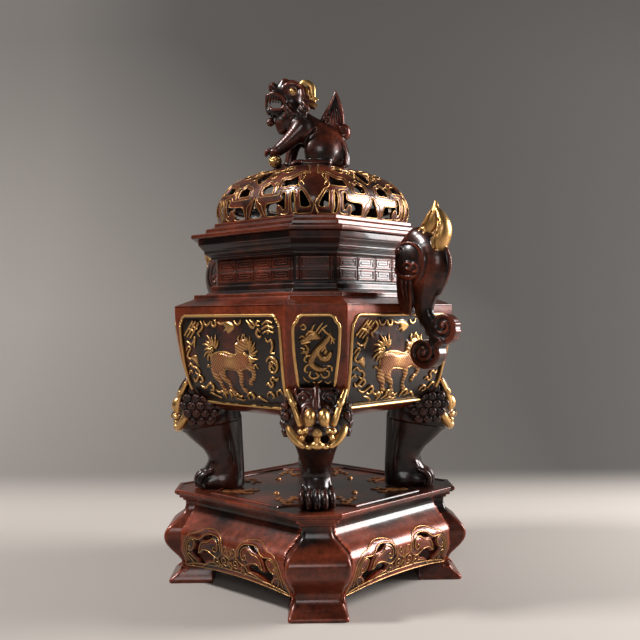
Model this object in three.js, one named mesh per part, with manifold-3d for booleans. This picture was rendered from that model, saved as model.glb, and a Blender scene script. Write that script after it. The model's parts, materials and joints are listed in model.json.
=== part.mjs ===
// Lidded bronze incense burner with four beast-mask legs, two bird handles,
// a pierced lid with a lion finial, and the footed stand that carries it.
// Millimetres, +Z up, origin under the middle of the stand.
// The vessel's plan is a square with cut corners: faces look along X and Y,
// and each leg and each stand post stands on a diagonal.

import * as THREE from 'three';
import { mergeVertices } from 'three/addons/utils/BufferGeometryUtils.js';
import Module from 'manifold-3d';

const wasm = await Module();
wasm.setup();

// Fits
const CLEARANCE = 0.3;

// Stand
const STAND_HEIGHT = 84.6;
const PLATE_THICKNESS = 4.6;
const PLATE_HALF = 103;
const PLATE_RECESS = 1;
const EAR_REACH = 129.7;
const EAR_HALF = 19.5;
const POST_FOOT_REACH = 135;
const POST_FOOT_HALF = 24.7;
const POST_ANKLE_REACH = 123.3;
const POST_ANKLE_HALF = 20.2;
const POST_BULGE_REACH = 139.1;
const POST_BULGE_HALF = 26.6;
const POST_NECK_REACH = 120.8;
const POST_NECK_HALF = 11.9;
const POST_DEPTH = 26;
const APRON_SETBACK = 10.2;
const APRON_THICKNESS = 6;
const APRON_TUCK = 4.5;
const APRON_END_Z = 12;
const APRON_ARCH_RISE = 7.5;
const STUD_RADIUS = 2.6;
const STUD_PLACE = 50;

// Vessel
const LEG_RISE = 73.4;
const KNEE_SETBACK = 0.65;
const BELLY_HALF = 107.9;
const BELLY_HEIGHT = 96.2;
const CORNER_SHARE = 0.327;
const WALL = 4.5;
const FLOOR = 6;
const FINGER_GAP = 4;
const SHOULDER_HALF = 93.3;
const SHOULDER_RISE = 10;
const NECK_HALF = 75.6;
const NECK_RISE = 51.4;
const COLLAR_HALF = 90;
const BEAD_RADIUS = 1.25;
const BOLT_RADIUS = 2.5;
const BOLT_HEAD_RADIUS = 4.4;
const BOLT_HEAD_HEIGHT = 3.6;
const BOLT_SETBACK = 49;
const BOLT_DEPTH = 16;

// Lid
const LID_HALF = 95.1;
const LID_RISE = 14.6;
const LID_WAIST_HALF = 83.7;
const LID_TOP_HALF = 77.1;
const LID_SKIRT = 9;
const SKIRT_FIT = 1;
const DOME_RISE = 52.4;
const DOME_HALF = 72;
const DOME_POWER = 4.5;
const DOME_WALL = 3.4;
const PLATEAU_HALF = 33;
const HANDLE_RISE = 87;
const FINIAL_HEIGHT = 86;
const FINIAL_TURN = -136.4;
const STEM_RADIUS = 3;
const NUT_RADIUS = 6;
const NUT_HEIGHT = 4;
const BALL_RADIUS = 6.4;

// Heights that follow from the sizes above
const PLATE_BOTTOM = STAND_HEIGHT - PLATE_THICKNESS;
const BELLY_BOTTOM = STAND_HEIGHT + LEG_RISE;
const BELLY_TOP = BELLY_BOTTOM + BELLY_HEIGHT;
const NECK_BOTTOM = BELLY_TOP + SHOULDER_RISE;
const LID_SEAT = NECK_BOTTOM + NECK_RISE;
const DOME_BASE = LID_SEAT + LID_RISE;
const DOME_TOP = DOME_BASE + DOME_RISE;
const BELLY_CUT = CORNER_SHARE * BELLY_HALF;
const KNEE_REACH = (2 * BELLY_HALF - BELLY_CUT) * Math.SQRT1_2 - KNEE_SETBACK;
const BOLT_PLACE = KNEE_REACH - BOLT_SETBACK;
const NECK_WALL_HALF = NECK_HALF - WALL;
const APRON_BULGE = (POST_BULGE_REACH + POST_BULGE_HALF) * Math.SQRT1_2 - APRON_SETBACK;
const APRON_CLEAR = APRON_BULGE - POST_BULGE_HALF * Math.SQRT2;
const EIGHTH = Math.PI / 4;

const bronze = { color: 0x3b1912, roughness: 0.3, metalness: 0.85 };
const darkBronze = { color: 0x1f130f, roughness: 0.34, metalness: 0.85 };
const gilt = { color: 0xc8933c, roughness: 0.3, metalness: 0.95 };

// Solids

function signedVolume(geometry) {
  const points = geometry.attributes.position;
  const index = geometry.index;
  const corner = [new THREE.Vector3(), new THREE.Vector3(), new THREE.Vector3()];
  let volume = 0;
  for (let i = 0; i < index.count; i += 3) {
    corner.forEach((p, k) => p.fromBufferAttribute(points, index.getX(i + k)));
    volume += corner[0].dot(corner[1].cross(corner[2])) / 6;
  }
  return volume;
}

// Drops seams so that the surface is closed, and makes it face outward.
function closed(geometry) {
  const bare = geometry.clone();
  bare.deleteAttribute('normal');
  bare.deleteAttribute('uv');
  const merged = mergeVertices(bare, 1e-4);
  if (signedVolume(merged) < 0) {
    const index = merged.index;
    for (let i = 0; i < index.count; i += 3) {
      const first = index.getX(i);
      index.setX(i, index.getX(i + 1));
      index.setX(i + 1, first);
    }
  }
  return merged;
}

function solid(geometry) {
  const shell = closed(geometry);
  return new wasm.Manifold(new wasm.Mesh({
    numProp: 3,
    vertProperties: new Float32Array(shell.attributes.position.array),
    triVerts: new Uint32Array(shell.index.array),
  }));
}

function geometryOf(body) {
  const mesh = body.getMesh();
  const geometry = new THREE.BufferGeometry();
  geometry.setAttribute('position', new THREE.BufferAttribute(mesh.vertProperties.slice(), 3));
  geometry.setIndex(new THREE.BufferAttribute(mesh.triVerts.slice(), 1));
  return geometry;
}

function joined(geometries) {
  return geometries.map(solid).reduce((sum, piece) => sum.add(piece));
}

function without(body, cutters) {
  return cutters.reduce((rest, cutter) => rest.subtract(cutter), body);
}

// Joins rings of equal point count. A ring stack is capped flat at both ends,
// or runs back from its last ring to its first.
function loft(rings, endless = false) {
  const count = rings[0].length;
  const positions = rings.flat().flatMap((p) => [p.x, p.y, p.z]);
  const index = [];
  const steps = endless ? rings.length : rings.length - 1;
  for (let i = 0; i < steps; i++) {
    const low = i * count;
    const high = ((i + 1) % rings.length) * count;
    for (let k = 0; k < count; k++) {
      const next = (k + 1) % count;
      index.push(low + k, low + next, high + next, low + k, high + next, high + k);
    }
  }
  if (!endless) {
    const last = (rings.length - 1) * count;
    for (let k = 1; k + 1 < count; k++) {
      index.push(0, k + 1, k);
      index.push(last, last + k, last + k + 1);
    }
  }
  const geometry = new THREE.BufferGeometry();
  geometry.setAttribute('position', new THREE.Float32BufferAttribute(positions, 3));
  geometry.setIndex(index);
  return geometry;
}

// Square of half width a whose corners are cut back by c, at height z.
function octagon(a, c, z) {
  const b = a - c;
  const plan = [[a, -b], [a, b], [b, a], [-b, a], [-a, b], [-a, -b], [-b, -a], [b, -a]];
  return plan.map(([x, y]) => new THREE.Vector3(x, y, z));
}

// Same plan moved outward all round by a gap.
function grownOctagon(a, c, z, gap) {
  return octagon(a + gap, c + (2 - Math.SQRT2) * gap, z);
}

function ellipsoid(x, y, z, rx, ry, rz, around = 9, up = 6) {
  return new THREE.SphereGeometry(1, around, up).scale(rx, ry, rz).translate(x, y, z);
}

// Tapered limb along a smooth curve. Stations are [x, y, z, thickness, width]:
// width lies along the side direction and thickness across it.
function limb(stations, side, sides = 8, steps = stations.length * 2) {
  const curve = new THREE.CatmullRomCurve3(stations.map(([x, y, z]) => new THREE.Vector3(x, y, z)));
  const rings = [];
  for (let i = 0; i <= steps; i++) {
    const t = i / steps;
    const centre = curve.getPoint(t);
    const along = curve.getTangent(t);
    const across = new THREE.Vector3().crossVectors(side, along).normalize();
    const flank = new THREE.Vector3().crossVectors(along, across).normalize();
    const place = t * (stations.length - 1);
    const before = Math.min(Math.floor(place), stations.length - 2);
    const share = place - before;
    const size = (k) => THREE.MathUtils.lerp(stations[before][k], stations[before + 1][k], share);
    rings.push(Array.from({ length: sides }, (_, k) => {
      const turn = (2 * Math.PI * k) / sides;
      return centre.clone()
        .addScaledVector(across, size(3) * Math.cos(turn))
        .addScaledVector(flank, size(4) * Math.sin(turn));
    }));
  }
  return loft(rings);
}

// Prism whose outline lies in the X-Z plane, between two Y values.
function prismAlongY(shape, nearY, farY, curveSegments = 6) {
  const depth = farY - nearY;
  return new THREE.ExtrudeGeometry(shape, { depth, bevelEnabled: false, curveSegments })
    .rotateX(Math.PI / 2)
    .translate(0, farY, 0);
}

function box(x0, x1, y0, y1, z0, z1) {
  return new THREE.BoxGeometry(x1 - x0, y1 - y0, z1 - z0)
    .translate((x0 + x1) / 2, (y0 + y1) / 2, (z0 + z1) / 2);
}

function upright(radius, z0, z1, sides = 16) {
  return new THREE.CylinderGeometry(radius, radius, z1 - z0, sides)
    .rotateX(Math.PI / 2)
    .translate(0, 0, (z0 + z1) / 2);
}

function blob(points) {
  const shape = new THREE.Shape();
  shape.moveTo(...points[0]);
  shape.splineThru(points.slice(1).concat([points[0]]).map(([x, y]) => new THREE.Vector2(x, y)));
  return shape;
}

function mirrored(points) {
  return points.map(([x, y]) => [-x, y]).reverse();
}

// Stand

// Post outline from foot to top: share of the height, diagonal reach, half width.
const postStations = [
  [0, POST_FOOT_REACH, POST_FOOT_HALF],
  [0.05, POST_FOOT_REACH - 1.2, POST_FOOT_HALF - 0.6],
  [0.11, POST_ANKLE_REACH + 4, POST_ANKLE_HALF + 1.8],
  [0.2, POST_ANKLE_REACH, POST_ANKLE_HALF],
  [0.3, POST_ANKLE_REACH + 3.5, POST_ANKLE_HALF + 1.6],
  [0.43, POST_BULGE_REACH - 3.2, POST_BULGE_HALF - 1.2],
  [0.55, POST_BULGE_REACH, POST_BULGE_HALF],
  [0.65, POST_BULGE_REACH - 3.5, POST_BULGE_HALF - 1.8],
  [0.74, POST_NECK_REACH + 6, POST_NECK_HALF + 6.5],
  [0.81, POST_NECK_REACH + 1.2, POST_NECK_HALF + 1.5],
  [0.87, POST_NECK_REACH, POST_NECK_HALF],
  [0.925, POST_NECK_REACH + 0.6, POST_NECK_HALF + 0.6],
  [0.93, POST_NECK_REACH + 2.4, POST_NECK_HALF + 2.7],
  [0.958, POST_NECK_REACH + 2.4, POST_NECK_HALF + 2.7],
  [0.964, POST_NECK_REACH + 5.4, POST_NECK_HALF + 5.6],
  [1, POST_NECK_REACH + 5.4, POST_NECK_HALF + 5.6],
];
const POST_INNER = POST_NECK_REACH - POST_DEPTH;

// One post in its own frame: X is the diagonal, Y runs across it. As a cutter it is
// grown by a gap and runs beyond both ends of the post.
function postSolid(gap, beyond = 0) {
  const soft = 1.6;
  const rings = postStations.map(([share, reach, half]) => {
    const z = share * PLATE_BOTTOM;
    const r = reach + gap + beyond;
    const w = half + gap;
    const back = POST_INNER - gap - beyond;
    const plan = [
      [back, -w], [r - soft, -w], [r, soft - w],
      [r, w - soft], [r - soft, w], [back, w],
    ];
    return plan.map(([x, y]) => new THREE.Vector3(x, y, z));
  });
  return solid(loft(rings));
}

// Bowed section of an apron: share of the height, inset from a bulge of BULGE_DRAWN.
const BULGE_DRAWN = 107;
const apronStations = [
  [0.12, 8.2], [0.26, 6], [0.4, 1], [0.55, 0], [0.66, 3.6], [0.8, 15.6], [0.88, 19], [0.94, 17.5], [1, 15.5],
];

// Openings of the carved scrollwork, for the half of the apron at positive X:
// the crescent over the leaf, the eye under it, and the gap beside the ring. They are
// drawn for a clear half width and a height of SCROLL_HALF and SCROLL_HEIGHT.
const SCROLL_HALF = 69.4;
const SCROLL_HEIGHT = 80;
const scrollHoles = [
  [
    [48, 44.2], [40, 45.6], [32, 50.6], [23, 51], [15.6, 47.4], [13.6, 40.5],
    [18, 46.4], [27, 45.2], [37, 42.2], [41.4, 35.8], [43.8, 37], [44.2, 42],
  ],
  [[18.5, 32.6], [29, 35.8], [40, 34.4], [48.5, 27], [46, 20.4], [38, 21], [31.5, 28]],
  [[10, 29.4], [10.4, 34.2], [14, 34.4], [14.6, 30.6]],
];
const centreHole = [[-1.8, 24.6], [-1.5, 30.6], [0, 33], [1.5, 30.6], [1.8, 24.6]];

// Half length of an apron before its ends are cut: it stops inside the posts, just
// past the diagonal at its narrowest height.
function apronHalf() {
  const narrowest = Math.max(...apronStations.map(([, inset]) => inset));
  return APRON_BULGE * (1 - narrowest / BULGE_DRAWN) + APRON_TUCK;
}

// The apron on the -Y side, cut to the posts at both ends.
function apronSolid() {
  const outer = apronStations.map(([share, inset]) => [
    APRON_BULGE * (1 - inset / BULGE_DRAWN), share * PLATE_BOTTOM,
  ]);
  const inner = outer.map(([a, z]) => [a - APRON_THICKNESS, z]).reverse();
  const profile = new THREE.Shape(outer.concat(inner).map(([a, z]) => new THREE.Vector2(a, z)));
  const half = apronHalf();
  const bar = new THREE.ExtrudeGeometry(profile, { depth: 2 * half, bevelEnabled: false })
    .rotateX(Math.PI / 2)
    .translate(0, half, 0)
    .rotateZ(-Math.PI / 2);
  const reach = PLATE_HALF + 30;
  const crown = APRON_END_Z + APRON_ARCH_RISE;
  const arch = new THREE.Shape();
  arch.moveTo(-reach, -5);
  arch.lineTo(reach, -5);
  arch.lineTo(reach, APRON_END_Z - 8);
  arch.lineTo(half, APRON_END_Z);
  arch.bezierCurveTo(half * 0.5, crown, 12, crown, 0, crown);
  arch.bezierCurveTo(-12, crown, -half * 0.5, crown, -half, APRON_END_Z);
  arch.lineTo(-reach, APRON_END_Z - 8);
  const fit = ([x, z]) => [(x * APRON_CLEAR) / SCROLL_HALF, (z * PLATE_BOTTOM) / SCROLL_HEIGHT];
  const outlines = scrollHoles.concat(scrollHoles.map(mirrored), [centreHole]);
  const holes = outlines.map((outline) => blob(outline.map(fit)));
  const cutters = holes.map((shape) => solid(prismAlongY(shape, -reach, -20, 1)));
  cutters.push(solid(prismAlongY(arch, -reach, -20, 4)));
  const posts = [-EIGHTH, -3 * EIGHTH].map((turn) => postSolid(CLEARANCE, 40)
    .rotate([0, 0, THREE.MathUtils.radToDeg(turn)]));
  return without(solid(bar), cutters.concat(posts));
}

// Outline of the stand top: straight rims between four projecting ears.
function plateRing(z, inset) {
  const ring = [];
  const side = PLATE_HALF - inset;
  const half = EAR_HALF - inset;
  const reach = EAR_REACH - inset;
  const shoulder = side * Math.SQRT2 - half;
  for (let corner = 0; corner < 4; corner++) {
    const turn = EIGHTH + corner * 2 * EIGHTH;
    for (const [r, t] of [[shoulder, -half], [reach, -half], [reach, half], [shoulder, half]]) {
      ring.push(new THREE.Vector3(r, t, z).applyAxisAngle(new THREE.Vector3(0, 0, 1), turn));
    }
  }
  return ring;
}

// The plate's field is sunk, and its outline bows in around each paw.
function standTop() {
  const plate = loft([
    plateRing(PLATE_BOTTOM, 1.6),
    plateRing(PLATE_BOTTOM + 1.1, 1.6),
    plateRing(PLATE_BOTTOM + 1.5, 0),
    plateRing(STAND_HEIGHT, 0),
  ]);
  const field = new THREE.Shape();
  const edge = PLATE_HALF - 14;
  const bow = 46;
  field.moveTo(edge, -edge + bow);
  for (let corner = 0; corner < 4; corner++) {
    const spin = corner * 2 * EIGHTH;
    const at = (x, y) => new THREE.Vector2(x, y).rotateAround(new THREE.Vector2(), spin);
    const from = at(edge, edge - bow);
    const pull = at(edge - bow * 0.75, edge - bow * 0.75);
    const to = at(edge - bow, edge);
    field.lineTo(from.x, from.y);
    field.quadraticCurveTo(pull.x, pull.y, to.x, to.y);
  }
  const sunk = new THREE.ExtrudeGeometry(field, { depth: 10, bevelEnabled: false, curveSegments: 4 })
    .translate(0, 0, STAND_HEIGHT - PLATE_RECESS);
  const studHoles = studPlaces().map(([x, y]) => solid(
    upright(STUD_RADIUS / 2 + CLEARANCE, PLATE_BOTTOM - 5, STAND_HEIGHT + 5, 6).translate(x, y, 0),
  ));
  return without(solid(plate), [solid(sunk), ...studHoles]);
}

function studPlaces() {
  return [0, 1, 2, 3].map((k) => {
    const turn = k * 2 * EIGHTH;
    return [STUD_PLACE * Math.cos(turn), STUD_PLACE * Math.sin(turn)];
  });
}

// Domed rivet through the plate, seated on the sunk field.
function stud() {
  const seat = STAND_HEIGHT - PLATE_RECESS;
  const outline = [
    [0, PLATE_BOTTOM - 1], [STUD_RADIUS / 2, PLATE_BOTTOM - 1], [STUD_RADIUS / 2, seat],
    [STUD_RADIUS, seat], [STUD_RADIUS * 0.7, seat + 1.4], [0, seat + 2],
  ];
  return new THREE.LatheGeometry(outline.map(([r, z]) => new THREE.Vector2(r, z)), 6)
    .rotateX(Math.PI / 2);
}

// Vessel

// Belly side from bottom to top: share of the height, inset from the widest half width.
const bellyStations = [
  [0, 37.9], [0.018, 32.5], [0.055, 25.5], [0.105, 19], [0.17, 14], [0.26, 9.6],
  [0.4, 5.9], [0.6, 3], [0.82, 0.7], [0.94, 0], [1, 0],
];

function bellyOuter(gap) {
  const rings = bellyStations.map(([share, inset]) => grownOctagon(
    BELLY_HALF - inset, BELLY_CUT, BELLY_BOTTOM + share * BELLY_HEIGHT, gap,
  ));
  const shoulderCut = CORNER_SHARE * SHOULDER_HALF;
  rings[0].forEach((p) => { p.z -= gap; });
  rings.push(grownOctagon(SHOULDER_HALF, shoulderCut, NECK_BOTTOM - 3.7, gap));
  rings.push(grownOctagon(SHOULDER_HALF, shoulderCut, NECK_BOTTOM + gap, gap));
  return rings;
}

function bellyInner() {
  const rings = [octagon(NECK_WALL_HALF, CORNER_SHARE * NECK_WALL_HALF, NECK_BOTTOM)];
  rings.push(octagon(NECK_WALL_HALF, CORNER_SHARE * NECK_WALL_HALF, BELLY_TOP + 3));
  rings.push(octagon(BELLY_HALF - WALL, BELLY_CUT, BELLY_TOP - 3));
  const floor = BELLY_BOTTOM + FLOOR;
  const middle = bellyStations.filter(([share]) => share > 0.08 && share < 0.9).reverse();
  for (const [share, inset] of middle) {
    rings.push(octagon(BELLY_HALF - inset - WALL, BELLY_CUT, BELLY_BOTTOM + share * BELLY_HEIGHT));
  }
  rings.push(octagon(BELLY_HALF - 31.5, BELLY_CUT, floor));
  return rings;
}

function bellyInset(z) {
  const share = (z - BELLY_BOTTOM) / BELLY_HEIGHT;
  const above = Math.max(1, bellyStations.findIndex(([s]) => s >= share));
  const [s0, i0] = bellyStations[above - 1];
  const [s1, i1] = bellyStations[above];
  return THREE.MathUtils.mapLinear(share, s0, s1, i0, i1);
}

// Distance of the broad face or of the corner face from the axis at height z.
function broadFace(z) {
  return BELLY_HALF - bellyInset(z);
}
function cornerFace(z) {
  return (2 * broadFace(z) - BELLY_CUT) * Math.SQRT1_2;
}

const PANEL_TOP = BELLY_TOP - 9.2;
const PANEL_BOTTOM = BELLY_BOTTOM + 10.5;

// Bead round a broad panel, as [across, height] with notched top corners.
function broadPanelLine() {
  const top = BELLY_HALF - BELLY_CUT - 7;
  const low = top - 4;
  const notch = 5;
  const middle = (PANEL_TOP + PANEL_BOTTOM) / 2;
  const right = [
    [low, PANEL_BOTTOM], [low + 1.5, PANEL_BOTTOM + 16], [top - 1, middle],
    [top, PANEL_TOP - notch], [top - notch * 0.55, PANEL_TOP - notch * 0.6], [top - notch, PANEL_TOP],
  ];
  return right.concat(mirrored(right));
}

// Bead round a corner panel; it narrows downward and ends beside the mask.
function cornerPanelLine() {
  const top = BELLY_CUT * Math.SQRT1_2 - 5;
  const low = top - 6.5;
  const notch = 4;
  const foot = BELLY_BOTTOM + 28;
  const right = [
    [low, foot], [(low + top) / 2, (foot + PANEL_TOP) / 2 - 5],
    [top, PANEL_TOP - notch], [top - notch * 0.6, PANEL_TOP - notch * 0.6], [top - notch, PANEL_TOP],
  ];
  return right.concat(mirrored(right));
}

// Bead of half-round section that follows a line drawn on a face.
function bead(line, face, endless, radius) {
  const dense = [];
  const count = endless ? line.length : line.length - 1;
  for (let i = 0; i < count; i++) {
    const [x0, z0] = line[i];
    const [x1, z1] = line[(i + 1) % line.length];
    const steps = Math.max(1, Math.round(Math.abs(z1 - z0) / 30));
    for (let k = 0; k < steps; k++) {
      dense.push([THREE.MathUtils.lerp(x0, x1, k / steps), THREE.MathUtils.lerp(z0, z1, k / steps)]);
    }
  }
  if (!endless) {
    dense.push(line[line.length - 1]);
  }
  const points = dense.map(([x, z]) => new THREE.Vector3(face(z), x, z));
  const total = points.length;
  const rings = points.map((point, i) => {
    const ahead = points[endless ? (i + 1) % total : Math.min(i + 1, total - 1)];
    const behind = points[endless ? (i + total - 1) % total : Math.max(i - 1, 0)];
    const along = ahead.clone().sub(behind).normalize();
    const across = new THREE.Vector3().crossVectors(along, new THREE.Vector3(1, 0, 0)).normalize();
    const out = new THREE.Vector3().crossVectors(across, along).normalize();
    return [0, 1, 2, 3].map((k) => {
      const turn = (Math.PI * (2 * k + 1)) / 4;
      return point.clone()
        .addScaledVector(across, radius * Math.cos(turn))
        .addScaledVector(out, radius * Math.sin(turn));
    });
  });
  return solid(loft(rings, endless));
}

function panelBeads(radius) {
  const beads = [];
  for (let k = 0; k < 4; k++) {
    const turn = 90 * k;
    beads.push(bead(broadPanelLine(), broadFace, true, radius).rotate([0, 0, turn]));
    beads.push(bead(cornerPanelLine(), cornerFace, false, radius).rotate([0, 0, turn + 45]));
  }
  return beads;
}

function boltHole(top) {
  return solid(upright(BOLT_RADIUS + CLEARANCE, BELLY_BOTTOM - BOLT_DEPTH - 2, top, 8)
    .translate(BOLT_PLACE, 0, 0));
}

function belly() {
  const shell = solid(loft(bellyOuter(0).concat(bellyInner())));
  const beaded = panelBeads(BEAD_RADIUS).reduce((sum, piece) => sum.add(piece), shell);
  const holes = [45, 135, 225, 315].map((turn) => boltHole(BELLY_TOP).rotate([0, 0, turn]));
  return without(beaded, holes);
}

// Neck side from the shoulder to the lid's seat: share of the rise, reach past the neck.
const neckStations = [
  [0, 8.5], [0.045, 4.4], [0.163, 4.4], [0.18, 0], [0.6, 0], [0.635, 4.6], [0.68, 4.6], [0.7, 6.5],
  [0.74, 9.6], [0.79, 9.6], [0.81, 10.8],
];

// Stepped neck and flared collar, open through the middle.
function neck() {
  const ring = (half, share) => octagon(half, CORNER_SHARE * half, NECK_BOTTOM + share * NECK_RISE);
  const rings = neckStations.map(([share, reach]) => ring(NECK_HALF + reach, share));
  rings.push(ring(COLLAR_HALF - 1, 0.87), ring(COLLAR_HALF, 1));
  rings.push(ring(NECK_WALL_HALF, 1), ring(NECK_WALL_HALF, 0));
  return solid(loft(rings, true));
}

// Legs

// Leg sections upward from the platform: rise, inner reach, outer reach, half width.
// The leg is drawn for a rise of LEG_DRAWN on a diagonal knee reach of KNEE_DRAWN.
const LEG_DRAWN = 73.4;
const KNEE_DRAWN = 127;
const legStations = [
  [0, 68.5, 98, 11], [14, 67.5, 98.6, 10], [25, 68.2, 99.6, 10], [35, 69.2, 106, 12.4],
  [45, 70.2, 117.5, 15.6], [54, 71, 127.4, 19.4], [64, 71.4, 129, 22], [86, 74, 122, 22.6],
];

function legRing([rise, near, far, half]) {
  const sides = 8;
  return Array.from({ length: sides }, (_, k) => {
    const turn = (2 * Math.PI * k) / sides;
    const x = (near + far) / 2 + ((far - near) / 2) * Math.cos(turn);
    return new THREE.Vector3(x, half * Math.sin(turn), rise);
  });
}

// Beast mask over the knee: brow, eyes, nose, chin, horns, jaw bars and mane.
function maskPieces() {
  const side = new THREE.Vector3(0, 0, 1);
  const z = (rise) => LEG_DRAWN + rise;
  const pieces = [
    ellipsoid(121, 0, z(10), 13, 15, 12, 7, 4),
    ellipsoid(130.5, 0, z(-6), 7, 7.5, 5, 6, 3),
    ellipsoid(124.5, 0, z(-15), 7, 6.5, 5.5, 6, 3),
  ];
  for (const s of [-1, 1]) {
    pieces.push(ellipsoid(127.5, 6.9 * s, z(4.5), 7, 5.4, 8, 6, 4));
    pieces.push(limb([
      [124, 12.5 * s, z(-2), 3.4, 3.6], [126, 16 * s, z(6), 3.6, 3.6], [118, 24 * s, z(23.5), 1, 1],
    ], side, 4, 3));
    pieces.push(limb([
      [119, 20.5 * s, z(-5), 3.2, 3.2], [121, 16.5 * s, z(-12), 4.2, 3.6], [119, 9 * s, z(-18.5), 3, 2.4],
    ], side, 4, 2));
    pieces.push(ellipsoid(110, 23.5 * s, z(-1), 8.5, 8.5, 15, 6, 4));
  }
  return pieces;
}

// Paw with five toes.
function pawPieces() {
  const pieces = [ellipsoid(88, 0, 6, 20, 12.5, 9, 8, 4)];
  for (let toe = -2; toe <= 2; toe++) {
    pieces.push(ellipsoid(103 - 1.1 * toe * toe, toe * 6.3, 5.5, 8.5, 3.8, 6.8, 6, 3));
  }
  return pieces;
}

// One leg in its own frame: X is the diagonal.
function leg() {
  const limbSolid = loft(legStations.map(legRing));
  const size = LEG_RISE / LEG_DRAWN;
  const whole = joined([limbSolid, ...maskPieces(), ...pawPieces()])
    .translate([-KNEE_DRAWN, 0, 0])
    .scale([size, size, size])
    .translate([KNEE_REACH, 0, STAND_HEIGHT]);
  const hull = solid(loft(bellyOuter(CLEARANCE))).rotate([0, 0, 45]);
  const beads = panelBeads(BEAD_RADIUS + CLEARANCE)
    .filter((_, k) => k % 8 === 7 || k === 0 || k === 6)
    .map((piece) => piece.rotate([0, 0, 45]));
  const floorCut = solid(box(0, 2 * KNEE_REACH, -KNEE_REACH, KNEE_REACH, 0, STAND_HEIGHT));
  return without(whole, [hull, ...beads, floorCut, boltHole(BELLY_TOP)]);
}

// Hexagon-headed bolt that holds a leg from inside the belly.
function legBolt() {
  const seat = BELLY_BOTTOM + FLOOR;
  const shank = upright(BOLT_RADIUS, BELLY_BOTTOM - BOLT_DEPTH, seat + 1, 8);
  const head = upright(BOLT_HEAD_RADIUS, seat, seat + BOLT_HEAD_HEIGHT, 6);
  return joined([shank, head]).translate([BOLT_PLACE, 0, 0]);
}

// Handles

// Flat spiral band that tightens toward its middle.
function volute(x, z, radius, start, turns, direction) {
  const count = 9;
  return Array.from({ length: count }, (_, k) => {
    const share = k / (count - 1);
    const angle = start + direction * share * turns * 2 * Math.PI;
    const r = radius * (1 - 0.72 * share);
    return [x + r * Math.cos(angle), 0, z + r * Math.sin(angle), 3.2 - 0.9 * share, 5 + 0.8 * share];
  });
}

// Bird-head handle in its own frame: X points away from the vessel. Its curves are
// drawn for a rise of HANDLE_DRAWN over a belly HANDLE_BELLY wide, then sized.
const HANDLE_DRAWN = 87;
const HANDLE_BELLY = 107.9;
function handle() {
  const side = new THREE.Vector3(0, 1, 0);
  const stem = limb([
    [131, 0, 52, 15, 9], [132, 0, 40, 22, 13], [133, 0, 26, 20, 12.5], [130, 0, 12, 13.5, 9.5],
    [129, 0, 0, 10, 8], [132, 0, -10, 7.5, 7], [139, 0, -17, 5.5, 6],
  ], side, 8, 8);
  const crown = limb([
    [124, 0, 58, 9, 8], [131, 0, 68, 7.5, 6.5], [138, 0, 78, 4.5, 4], [142.5, 0, 87, 0.6, 0.6],
  ], side, 6, 4);
  const crest = limb([
    [139, 0, 76, 3, 3], [149, 0, 71, 4, 3.6], [154.5, 0, 60, 4.4, 3.8],
    [151, 0, 49, 4.2, 3.8], [154, 0, 38, 2, 2],
  ], side, 5, 6);
  const tuft = limb([
    [112, 0, 38, 9, 8], [110, 0, 22, 8.5, 7.5], [111.5, 0, 8, 6.5, 6.5], [117, 0, -9, 1.5, 2],
  ], side, 6, 4);
  const root = box(96, 131, -6.5, 6.5, -4, 8);
  const upper = limb(volute(152.5, -17, 13.5, 2.6, 1.25, -1), side, 4, 13);
  const lower = limb(volute(133, -41, 12.5, 0.9, 1.2, -1), side, 4, 12);
  const link = limb([
    [139, 0, -14, 5, 6], [141, 0, -24, 4, 5.4], [143, 0, -32, 3.6, 5], [140, 0, -36, 3, 4.8],
  ], side, 4, 3);
  const eyes = [-1, 1].map((s) => ellipsoid(122, 11 * s, 38, 15.5, 4.5, 16.5, 9, 4));
  const size = HANDLE_RISE / HANDLE_DRAWN;
  const whole = joined([stem, crown, crest, tuft, root, upper, lower, link, ...eyes])
    .translate([-HANDLE_BELLY, 0, 0])
    .scale([size, size, size])
    .translate([BELLY_HALF, 0, BELLY_TOP]);
  const hull = solid(loft(bellyOuter(CLEARANCE)));
  const beads = panelBeads(BEAD_RADIUS + CLEARANCE).filter((_, k) => k === 0);
  const neckGap = solid(box(0, COLLAR_HALF + FINGER_GAP, -BELLY_HALF, BELLY_HALF, NECK_BOTTOM, DOME_TOP));
  return without(whole, [hull, ...beads, neckGap]);
}

// Lid

// Stepped octagonal base with a skirt that drops inside the collar.
function lidBase() {
  const ring = (half, z) => octagon(half, CORNER_SHARE * half, z);
  const up = (share) => LID_SEAT + share * LID_RISE;
  const skirt = NECK_WALL_HALF - SKIRT_FIT;
  const inner = skirt - WALL + 1;
  return solid(loft([
    ring(skirt, LID_SEAT - LID_SKIRT), ring(skirt, LID_SEAT), ring(LID_HALF - 1, LID_SEAT),
    ring(LID_HALF, up(0.06)), ring(LID_HALF, up(0.25)), ring(LID_HALF - 8, up(0.3)),
    ring(LID_WAIST_HALF, up(0.38)), ring(LID_WAIST_HALF, up(0.63)),
    ring(LID_TOP_HALF + 3, up(0.68)), ring(LID_TOP_HALF, up(0.74)),
    ring(LID_TOP_HALF, DOME_BASE), ring(inner, DOME_BASE), ring(inner, LID_SEAT - LID_SKIRT),
  ], true));
}

// Dome side from base to plateau: share of the rise, share of the half width.
const domeStations = [
  [0, 1], [0.2, 1.035], [0.42, 1.01], [0.6, 0.94], [0.75, 0.84], [0.88, 0.67], [0.965, 0.5],
];

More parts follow.
